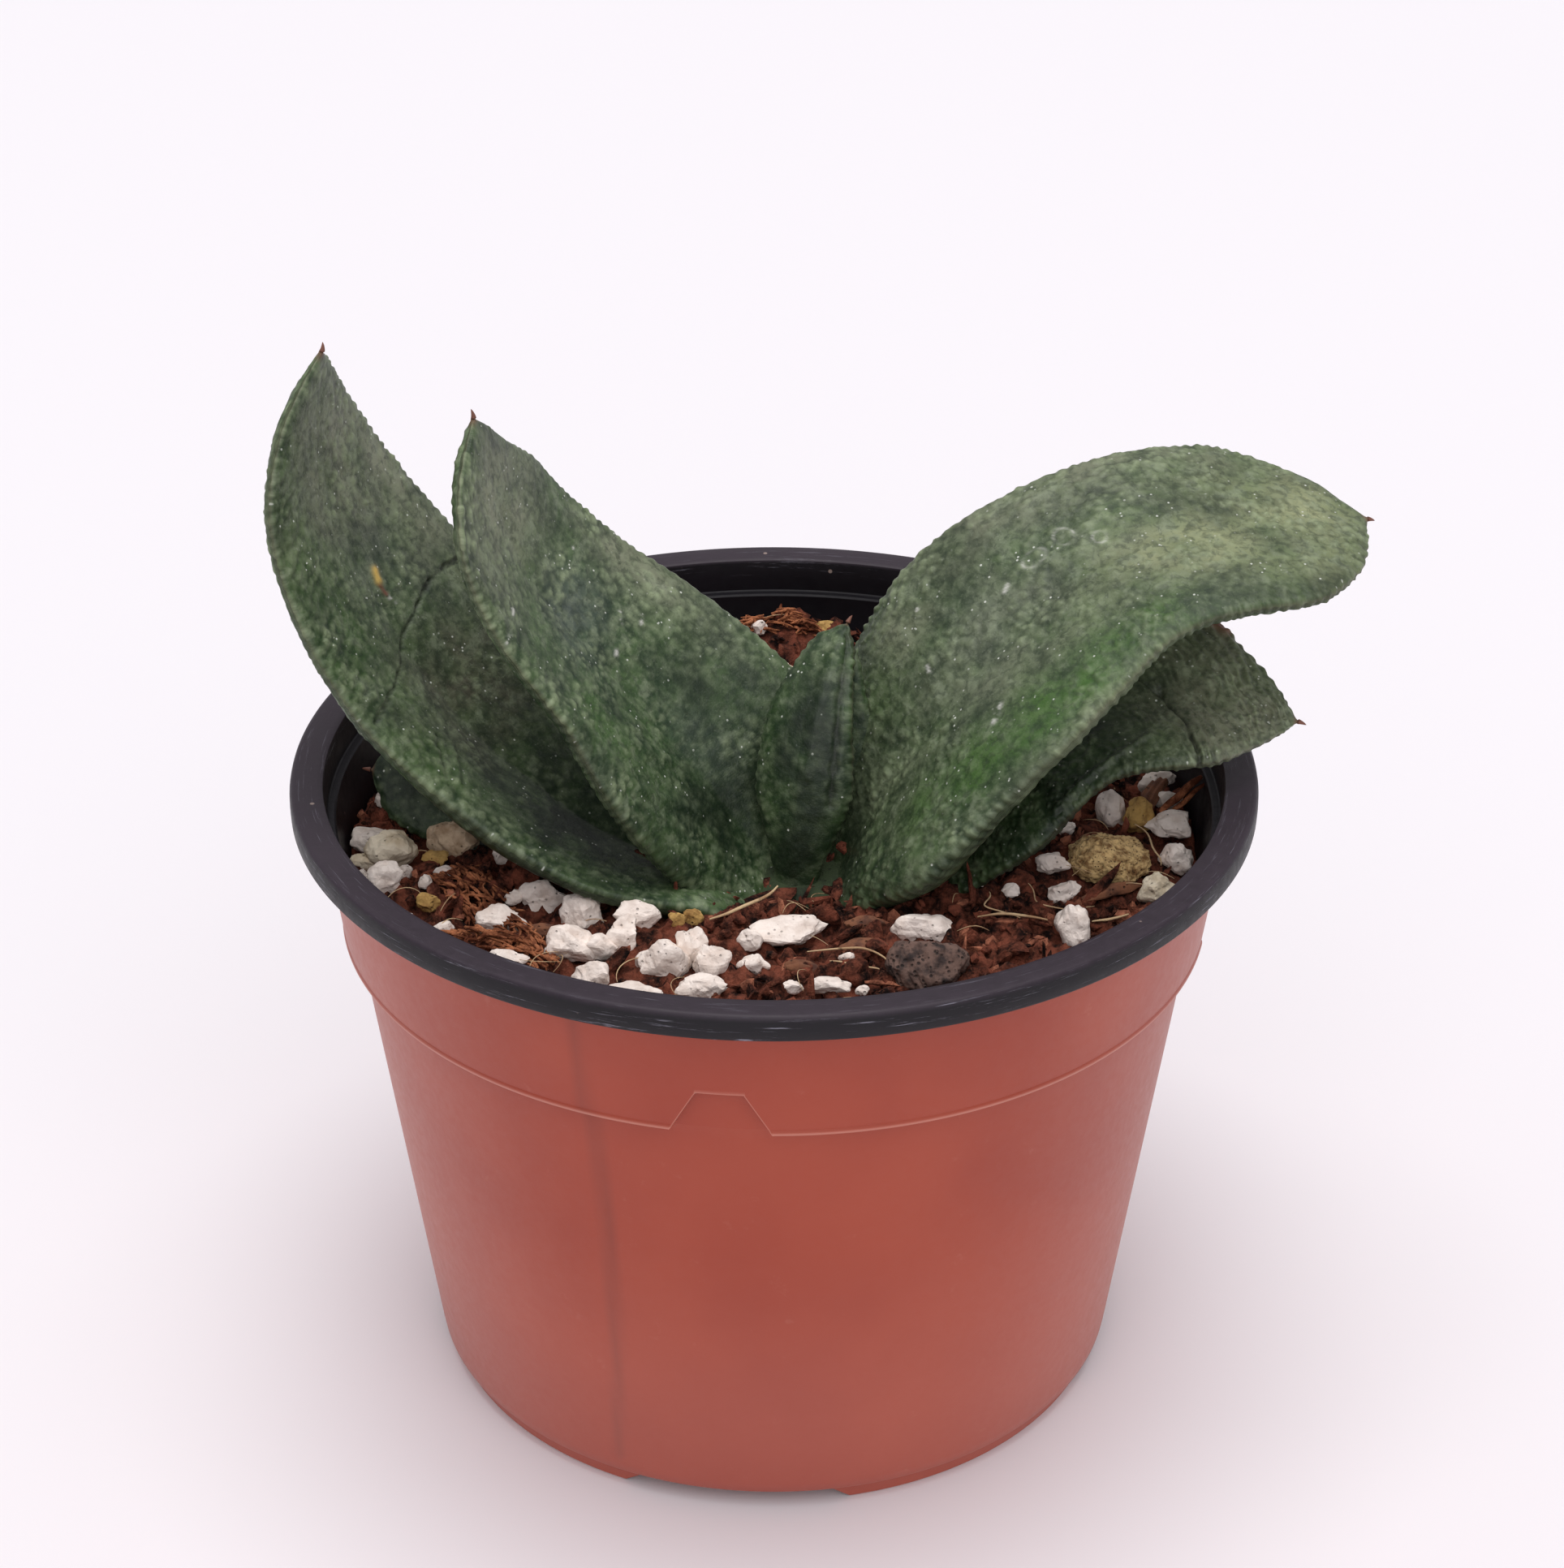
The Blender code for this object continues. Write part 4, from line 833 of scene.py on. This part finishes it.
def pot_profile():
    """Outline of the turned pot as radius and height: up the outside, over the lip and down the inside."""
    outside = [(r, UNDER_Z) for r in (5.0, 12, 20, 27, 30.5, 34, 36.2)]
    outside += [(36.8, 2.1), (37.0, 1.7), (37.15, 0.3), (37.4, 0.0), (38.3, 0.0), (FOOT_R - 0.25, 0.0),
                (FOOT_R, 0.25), (FOOT_R + 0.1, FOOT_Z - 0.25), (FOOT_R + 0.3, FOOT_Z - 0.05),
                (WALL_R0 - 0.2, FOOT_Z), (WALL_R0, FOOT_Z + 0.25)]
    for i in range(1, 40):
        f = i / 40
        outside.append((WALL_R0 + (WALL_R1 - WALL_R0) * f, FOOT_Z + (STEP_Z - 0.15 - FOOT_Z) * f))
    outside += [(WALL_R1, STEP_Z - 0.12), (WALL_R1 + 0.25, STEP_Z), (BAND_R0 - 0.25, STEP_Z + 0.02),
                (BAND_R0 + 0.08, STEP_Z + 0.12), (BAND_R0 + 0.22, STEP_Z + 0.35),
                (BAND_R0 + 0.2, STEP_Z + 0.6), (BAND_R0 + 0.09, STEP_Z + 0.8)]
    rise = (BAND_R1 - BAND_R0) / (LIP_Z - STEP_Z)
    for z in (58, 59, 60, 61, NOTCH_TOP_Z - 0.3, NOTCH_TOP_Z - 0.08, NOTCH_TOP_Z + 0.05, NOTCH_TOP_Z + 0.3,
              NOTCH_TOP_Z + 0.55, 64, 66, 68, 70, LIP_Z - 0.8, LIP_Z - 0.3):
        outside.append((BAND_R0 + rise * (z - STEP_Z), z))
    lip = [(BAND_R1 + 0.5, LIP_Z), (54.2, LIP_Z + 0.02), (54.75, LIP_Z + 0.12), (54.95, LIP_Z + 0.4),
           (55.0, 73.4), (54.98, 74.3), (54.9, 74.7), (54.7, 74.93), (54.4, 75.03), (53.2, 75.0),
           (52.0, 74.98), (51.5, 74.95), (51.25, 74.8), (51.15, 74.5), (51.0, 72.5), (50.9, 71.1),
           (50.75, 70.95), (50.15, 70.9), (49.95, 70.7), (49.9, 69.4)]
    inner = [(49.9 - 3.5 * f, 69.4 - 14.4 * f) for f in (0.15, 0.35, 0.6, 0.8, 1)]
    inner += [(43.0, 30), (39.7, FLOOR_Z + 1.2), (39.2, FLOOR_Z + 0.3)]
    inner += [(r, FLOOR_Z) for r in (38.6, 34, 30.5, 27, 20, 12, 5.0)]
    return outside, lip + inner


def pot_columns(z0, n_outside):
    """Angle of each column in each row, in degrees from the middle of a notch, over half a quarter. The
    columns follow the slanted sides of the notch and of the foot gap, with close pairs at both."""
    notch_half = np.degrees(np.interp(z0, (STEP_Z, NOTCH_TOP_Z), (NOTCH_W0, NOTCH_W1)) / 2 / NOTCH_R)
    gap_half = np.interp(z0, (0, FOOT_Z), FOOT_GAP_DEG)
    notch_half[n_outside:], gap_half[n_outside:] = notch_half[n_outside - 1], FOOT_GAP_DEG[1]
    half = []
    for notch, gap in zip(notch_half, gap_half):
        half.append([*(notch * np.array((0, 0.2, 0.4, 0.6, 0.8))),
                     *(notch + PAIR_DEG * np.array((-2.2, -1, 1, 2.2))),
                     *np.linspace(notch + 3.5 * PAIR_DEG, DRAIN_DEG, 7), (DRAIN_DEG + gap) / 2,
                     gap - PAIR_DEG, gap + PAIR_DEG, *np.linspace(gap + 3 * PAIR_DEG, 45, 24)])
    return np.array(half)


def pot_faces(r0, z0, drain):
    """Quads of the pot, open at the drain holes, with the walls of the holes and the join at the middle."""
    rows, columns = len(r0), len(drain)
    faces = grid_faces(rows, columns)
    face_row, face_column = np.divmod(np.arange(len(faces)), columns)
    drained = drain & np.roll(drain, -1)
    in_reach = (r0 >= DRAIN_R[0]) & (r0 <= DRAIN_R[1])
    low = np.flatnonzero(in_reach & (z0 == UNDER_Z))
    high = np.flatnonzero(in_reach & (z0 == FLOOR_Z))[::-1]
    hole = np.isin(face_row, [*low[:-1], *high[1:]]) & drained[face_column]
    bridges = []
    for j in range(columns):
        k = (j + 1) % columns
        joined = [(0, rows - 1)]
        if drained[j]:
            joined += [(low[0], high[0]), (low[-1], high[-1])]
        for lo, hi in joined:
            bridges.append((lo * columns + j, lo * columns + k, hi * columns + k, hi * columns + j))
        if drained[j] != drained[j - 1]:
            for corners in zip(low, low[1:], high[1:], high):
                bridges.append([i * columns + j for i in corners])
    return [faces[~hole], np.array(bridges)]


def pot_marks(index, angle, z0, height, n_outside, wave):
    """Painted values of the pot: near-black lining, worn top and face of the rim, painted highlight along the
    step and round the notches, stain streak, and painted reflection of the pale floor low down with painted
    sheen at the sides."""
    row, z = np.arange(len(z0))[:, None], z0[:, None]
    outer, lining = row < n_outside, row > n_outside
    on_lip = lining & (row <= n_outside + LIP_ROWS)
    # painted highlight along the edge of the step, the sides of the notch and its top
    step_highlight = outer * (index >= NOTCH_COLUMN) * np.exp(-((z - STEP_Z - 0.3) / 0.2) ** 2)
    beside = outer & (z > STEP_Z) & (z < NOTCH_TOP_Z + 0.2) & (index == NOTCH_COLUMN)
    above = outer * (index <= NOTCH_COLUMN) * np.exp(-((z - NOTCH_TOP_Z - 0.12) / 0.15) ** 2)
    turn = (angle - PATTERN_DEG + 180) % 360 - 180
    streak_at = np.interp(height, (3, 20, 40, 70), (-19.5, -17.5, -16.6, -17.5))
    streak = np.exp(-((turn - streak_at) / 0.9) ** 2) * (height > 4) * outer * (0.7 + 0.3 * wave)
    aside = np.abs((angle + 90 + 180) % 360 - 180)
    # painted reflection of the pale floor low down and painted sheen at the sides, away from the front
    painted_reflection = 0.22 * smooth_step(42, 6, height) + 0.3 * smooth_step(25, 75, aside)
    values = dict(lining=lining, worn=on_lip * smooth_step(74.55, 74.8, z), lip=on_lip & (z < 74.8),
                  step_highlight=np.maximum.reduce([step_highlight, 0.9 * beside, above]), streak=np.clip(streak, 0, 1),
                  painted_reflection=painted_reflection * outer * (0.9 + 0.1 * wave))
    return {key: np.broadcast_to(value, angle.shape).ravel() for key, value in values.items()}


def make_pot(mat):
    """Pot as one ring grid. Points inside a notch are set back to the line of the lower wall, points inside a
    foot gap are lifted to the crease, and the back of the rim is lifted a little."""
    outside, rest = pot_profile()
    r0, z0 = np.array(outside + rest).T
    half = pot_columns(z0, len(outside))
    n_half = half.shape[1]
    index = np.tile([*range(n_half - 1, 0, -1), *range(n_half - 1)], 4)
    quarter = np.concatenate([-half[:, :0:-1], half[:, :-1]], 1)
    angle = np.concatenate([quarter + PATTERN_DEG + 90 * k for k in range(4)], 1)
    radius = np.repeat(r0[:, None], angle.shape[1], 1)
    height = np.repeat(z0[:, None], angle.shape[1], 1)
    outer = np.arange(len(r0))[:, None] < len(outside)
    wall = WALL_R1 + (WALL_R1 - WALL_R0) / (STEP_Z - FOOT_Z) * (height - STEP_Z) + 0.05
    in_notch = (index < NOTCH_COLUMN) & outer & (height >= STEP_Z - 0.01) & (height < NOTCH_TOP_Z)
    radius = np.where(in_notch, np.minimum(radius, wall), radius)
    gap = index < np.sum(half[0] < FOOT_GAP_DEG[1])
    height = np.where(gap & outer & (height < 1.75) & (radius > 36.9), GAP_Z, height)
    y = radius * np.sin(np.radians(angle))
    height = height + REAR_LIFT * np.clip(y / RIM_R, 0, 1) * smooth_step(STEP_Z, RIM_Z, height)
    points = np.stack([radius * np.cos(np.radians(angle)), y, height], -1).reshape(-1, 3)
    wave = value_noise(points / 18, 3).reshape(angle.shape)
    drain = index < np.sum(half[0] <= DRAIN_DEG + 1e-6)
    obj = add_mesh("pot_body", points, pot_faces(r0, z0, drain), mat, "pot_shell", ("pot",),
                   **pot_marks(index, angle, z0, height, len(outside), wave))
    bm = bmesh.new()
    bm.from_mesh(obj.data)
    bmesh.ops.recalc_face_normals(bm, faces=bm.faces)
    bm.to_mesh(obj.data)
    bm.free()
    obj.modifiers.new("sharp_edges", "EDGE_SPLIT").split_angle = math.radians(38)


# Potting mix

def inner_radius(z):
    """Radius of the pot's inner wall at a height, in millimetres."""
    return np.interp(z, (FLOOR_Z, 55.0, 69.4, 71.0, RIM_Z), (39.0, 46.4, 49.9, 50.9, 51.2))


def soil_height(x, y):
    """Uneven surface of the mix as in the CAD, a dip at the foot of the leaves and a mound at the back."""
    wave = 0.55 * np.sin(0.21 * x + 0.4) * np.cos(0.17 * y) + 0.4 * np.sin(0.33 * y - 0.12 * x + 1.1)
    dip = 3.0 * np.exp(-((x - 0.5) / 14) ** 2 - ((y + 9) / 8) ** 2)
    mound = 4.0 * np.exp(-((x - 1) / 9) ** 2 - ((y - 44) / 6) ** 2)
    return SOIL_Z + wave + 0.9 * np.maximum(0.0, y / 48) - dip + mound


def make_soil(mat):
    """Mix as a turned grid: plain below, with a crumbled top of noise on three scales."""
    sectors = 420
    a = 2 * np.pi * np.arange(sectors) / sectors
    rows = [(0.3, FLOOR_Z + 0.4), (20, FLOOR_Z + 0.4), (38, FLOOR_Z + 0.6)]
    rows += [(inner_radius(z) - 0.5, z) for z in (8, 20, 38, 55, 61)]
    points = [np.stack([r * np.cos(a), r * np.sin(a), np.full(sectors, z)], 1) for r, z in rows]
    for r in np.linspace(inner_radius(SOIL_Z) - 0.5, 0.3, 190):
        x, y = r * np.cos(a), r * np.sin(a)
        z = soil_height(x, y) - 1.2 * np.clip((r - 46) / 3, 0, 1)
        flat = np.stack([x, y, 0 * x], 1)
        z = z + 0.9 * fractal(flat, 4.5, 3, 50) + 1.3 * np.abs(fractal(flat, 1.6, 3, 60)) - 1.1
        points.append(np.stack([x, y, z], 1))
    grid = np.stack(points)
    last = (len(grid) - 1) * sectors
    caps = [np.arange(sectors)[None], np.arange(last, last + sectors)[None, ::-1]]
    add_mesh("mix_bed", grid.reshape(-1, 3), [grid_faces(len(grid), sectors), *caps], mat, "potting_mix",
             ("potting_mix",))


def strewn(rng, reach, inner):
    """Random place on a disc, evenly spread over its area; inner is the share of it that is left out."""
    r, angle = reach * math.sqrt(rng.uniform(inner, 1)), rng.uniform(0, 2 * math.pi)
    return r * math.cos(angle), r * math.sin(angle)


def make_crumbs(name, mat, count, low, high, seed, level=1):
    """Loose crumbs strewn on the mix, each a small rough lump; a third are long splinters."""
    rng = np.random.default_rng(seed)
    parts = []
    kept_clear = np.array([(x, y, 0.45 * (wide + tall)) for x, y, wide, tall, *_ in GRAINS]
                          + [(*PUMICE[:2], 5.0), (*LAVA[:2], 5.0)])
    for i in range(count):
        x, y = strewn(rng, CRUMB_REACH, 0.01)
        size = rng.uniform(low, high) * np.array([1, rng.uniform(0.5, 1), rng.uniform(0.4, 0.8)])
        if rng.uniform() < 0.33:
            size = size * (2.0, 0.5, 0.5)
        points, faces = lump(level, size, rng, 1.1, 3, i)
        points = points @ spin(rng).T + (x, y, soil_height(x, y) + rng.uniform(-0.5, 0.45))
        inside = np.hypot(points[:, 0], points[:, 1]).max() < inner_radius(SOIL_Z) - 0.1
        off_grains = (np.hypot(kept_clear[:, 0] - x, kept_clear[:, 1] - y) > kept_clear[:, 2]).all()
        if inside and off_grains:
            parts.append((points, faces))
    add_mesh(name, *join(parts), mat, "potting_mix", smooth=False)


def make_grains():
    """Perlite and other grains: the measured ones, then seeded ones where the leaves hide the mix."""
    rng = np.random.default_rng(4)
    placed = [(*grain, "white")[:5] for grain in GRAINS]
    taken = [(*PUMICE[:2], 8.6), (*LAVA[:2], 9.2)] + [grain[:3] for grain in GRAINS]
    for _ in range(900):
        size = rng.uniform(1.4, 4.6)
        x, y = strewn(rng, GRAIN_REACH, 0.1)
        if y < 4 or len(placed) > MAX_GRAINS:
            continue
        if all(math.hypot(x - p, y - q) > 0.6 * (size + w) for p, q, w in taken):
            kind = "white" if rng.uniform() < 0.8 else ("ochre", "cream", "tan")[int(rng.integers(3))]
            placed.append((x, y, size, size * rng.uniform(0.6, 0.9), kind))
            taken.append((x, y, size))
    groups = {}
    for i, (x, y, wide, tall, kind) in enumerate(placed):
        depth = 0.5 * (wide + tall) * rng.uniform(0.7, 0.95)
        size = np.array([wide, depth, tall * 1.05]) / 2
        fine = i < len(GRAINS) and wide > 3.2
        points, faces = lump(4 if fine else 3, size * 1.14, rng, 0.5, 10, i, (0.6, 0.92))
        chip = 0.07 * fractal(points, 0.7, 2, i)
        chip -= 0.14 * domes(points[:, 0] + points[:, 2], points[:, 1], 0.7, 0.4, i, 0.5)
        points = points * (1 + chip / size.mean())[:, None]
        limit = inner_radius(SOIL_Z) - 0.25 - np.hypot(points[:, 0], points[:, 1]).max()
        pull = min(1.0, limit / max(math.hypot(x, y), 0.001))
        x, y = x * pull, y * pull
        groups.setdefault(kind, []).append((points + (x, y, soil_height(x, y) + 0.16 * tall), faces))
    for kind, parts in groups.items():
        add_mesh(f"grains_{kind}", *join(parts), stone_paint(GRAIN_PAINTS[kind]), "perlite", smooth=False)


def make_stones():
    """The pumice and the lava stone, with a granular and a porous surface."""
    for name, (*centre, r), seed in (("pumice", PUMICE, 3), ("lava", LAVA, 11)):
        rng = np.random.default_rng(seed)
        points, faces = lump(6, np.array([1.05, 0.85, 0.66]) * r * 1.05, rng, 0.16, 7, seed)
        if name == "pumice":
            relief = 0.3 * fractal(points, 0.7, 3, 8)
        else:
            x, y, z = points.T
            relief = 0.18 * fractal(points, 1.1, 2, 9) - 0.32 * domes(x + 0.6 * z, y - 0.7 * z, 0.8, 0.5, 90)
        points = points + points / np.linalg.norm(points, axis=1, keepdims=True) * relief[:, None]
        add_mesh(name + "_stone_rough", points + centre, faces, stone_paint(name), name, (name + "_stone",))


def tube(path, radius, sides=6):
    """Thin tube along points in millimetres, tapering to its ends."""
    path = np.asarray(path, float)
    along = np.gradient(path, axis=0)
    along /= np.linalg.norm(along, axis=1, keepdims=True)
    side = np.cross(along, (0, 0, 1.0))
    side /= np.linalg.norm(side, axis=1, keepdims=True) + 1e-9
    up = np.cross(side, along)
    a = 2 * np.pi * np.arange(sides) / sides
    thin = radius * (1 - 0.5 * np.abs(np.linspace(-1, 1, len(path))) ** 2)[:, None, None]
    ring = side[:, None] * np.cos(a)[:, None] + up[:, None] * np.sin(a)[:, None]
    points = (path[:, None] + ring * thin).reshape(-1, 3)
    quads = grid_faces(len(path), sides)
    return points, np.concatenate([quads[:, [0, 1, 2]], quads[:, [0, 2, 3]]])


def make_coir(mat):
    """Coir mats as bundles of short fibres over a dome h (1 - a² - b²), and sticks as single thin tubes."""
    rng = np.random.default_rng(51)
    parts = []
    for x, y, heading, long, wide, high in COIR:
        turn = math.radians(heading)
        ahead = np.array([math.cos(turn), math.sin(turn)])
        across = np.array([-math.sin(turn), math.cos(turn)])
        for _ in range(int(26 * long * wide / 4)):
            a, b = rng.uniform(-0.85, 0.85), rng.uniform(-0.95, 0.95)
            dome = high * max(0.0, 1 - a * a - b * b) * rng.uniform(0.5, 1.05)
            x0, y0 = np.array([x, y]) + ahead * a * long + across * b * wide
            skew, reach = turn + rng.normal(0, 0.45), rng.uniform(0.7, 1.8)
            t = np.linspace(-1, 1, 7)
            bend = 0.25 * np.sin(3 * t + rng.uniform(0, 6))
            xs, ys = x0 + reach * t * math.cos(skew) + bend, y0 + reach * t * math.sin(skew) - bend
            zs = soil_height(x0, y0) + dome + 0.25 - 0.3 * t * t + rng.normal(0, 0.15) * t
            if np.hypot(xs, ys).max() < COIR_LIMIT:
                parts.append(tube(np.stack([xs, ys, zs], 1), rng.uniform(0.1, 0.26), 5))
    for start, end, radius in STICKS:
        t = np.linspace(0, 1, 14)[:, None]
        path = np.array(start) * (1 - t) + np.array(end) * t
        path[:, 2] += 0.12 * np.sin(11 * t[:, 0])
        parts.append(tube(path, radius, 8))
    add_mesh("coir_mats", *join(parts), mat, "potting_mix")


def make_fibres(mat):
    """Pale rootlets and straws lying on the mix, then seeded hair roots."""
    parts = []
    rng = np.random.default_rng(30)
    for knots, radius in FIBRES:
        knots = np.array(knots)
        t = np.linspace(0, 1, 24)
        keys = np.linspace(0, 1, len(knots))
        x, y, h = (monotone(keys, knots[:, i], t) for i in range(3))
        x, y = x + 0.25 * np.sin(9 * t), y + 0.2 * np.sin(7 * t + 1)
        parts.append(tube(np.stack([x, y, soil_height(x, y) + h], 1), radius))
    for _ in range(80):
        x0, y0 = strewn(rng, ROOTLET_REACH, 0.05)
        heading, bend, length = rng.uniform(0, 6.28), rng.uniform(-1.6, 1.6), rng.uniform(2, 7)
        t = np.linspace(0, 1, 12)
        x = x0 + length * t * np.cos(heading + bend * t)
        y = y0 + length * t * np.sin(heading + bend * t)
        if np.hypot(x, y).max() < ROOTLET_LIMIT:
            lift = 0.5 + rng.uniform(0.2, 0.9) * np.sin(np.pi * t)
            parts.append(tube(np.stack([x, y, soil_height(x, y) + lift], 1), rng.uniform(0.04, 0.07), 5))
    add_mesh("rootlets", *join(parts), mat, "potting_mix")


def make_bark(mat):
    """Bark chips: bent flat strips with ridged faces."""
    parts = []
    for i, ((x0, y0), (x1, y1), width) in enumerate(BARK):
        rng = np.random.default_rng(70 + i)
        length = math.hypot(x1 - x0, y1 - y0)
        points, faces = lump(4, np.array([length / 2, width / 2, 0.7]), rng, 0.35, 4, i)
        points[:, 2] += 0.12 * np.sin(points[:, 1] * 9)
        points[:, 2] += 0.04 * length * (1 - (2 * points[:, 0] / length) ** 2)
        cos, sin = (x1 - x0) / length, (y1 - y0) / length
        turn = np.array([[cos, -sin, 0], [sin, cos, 0], [0, 0, 1]])
        x, y = (x0 + x1) / 2, (y0 + y1) / 2
        parts.append((points @ turn.T + (x, y, soil_height(x, y) + 0.5), faces))
    add_mesh("bark_chips", *join(parts), mat, "potting_mix")


# Camera, light and floor

def make_stage():
    """Pale floor, soft studio light and the camera at the photo's viewing angle."""
    mesh = bpy.data.meshes.new("floor")
    corners = [(x * FLOOR_REACH, y * FLOOR_REACH, 0) for x, y in ((-1, -1), (1, -1), (1, 1), (-1, 1))]
    mesh.from_pydata(corners, [], [(0, 1, 2, 3)])
    mesh.materials.append(Paint("pale_floor").set(Base_Color=rgb(238, 236, 239), Roughness=0.6))
    new_object("floor", mesh)
    camera = bpy.data.cameras.new("camera")
    camera.sensor_width, camera.lens, camera.shift_x = SENSOR_WIDTH, LENS, SHIFT_X
    holder = new_object("camera", camera)
    holder.location = (AXIS_X * MM, CAMERA_Y, CAMERA_Z)
    holder.rotation_euler = (math.radians(CAMERA_TILT), 0, 0)
    scene = bpy.context.scene
    scene.camera = holder
    scene.world = bpy.data.worlds.new("studio")
    scene.world.use_nodes = True
    background = scene.world.node_tree.nodes["Background"]
    background.inputs["Color"].default_value = (*rgb(250, 246, 252), 1)
    background.inputs["Strength"].default_value = SKY_STRENGTH
    scene.view_settings.view_transform = "Standard"
    for name, (x, y, z), spread, power, tint in LIGHTS:
        light = bpy.data.lights.new(name, "SUN")
        light.angle, light.energy, light.color = math.radians(spread), power, tint
        lamp = new_object(name, light)
        lamp.location = (x, y, z)
        lamp.rotation_euler = (math.atan2(math.hypot(x, y), z), 0, math.atan2(-y, -x) - math.pi / 2)


make_stage()
skin = leaf_paint()
for leaf_name in LEAVES:
    make_leaf(leaf_name, skin)
make_pot(pot_paint())
soil = soil_paint("soil")
make_soil(soil)
make_crumbs("peat_crumbs", soil, 2200, 0.35, 1.15, 12)
make_crumbs("coir_crumbs", soil_paint("coir"), 500, 0.4, 1.3, 13)
make_crumbs("peat_clods", soil, 420, 1.1, 2.3, 14, 2)
make_grains()
make_stones()
make_fibres(stone_paint("rootlet"))
make_coir(soil_paint("coir_fibre"))
make_bark(stone_paint("bark"))
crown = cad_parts["crown"]
crown.data.materials.clear()
crown.data.materials.append(stone_paint("crown"))
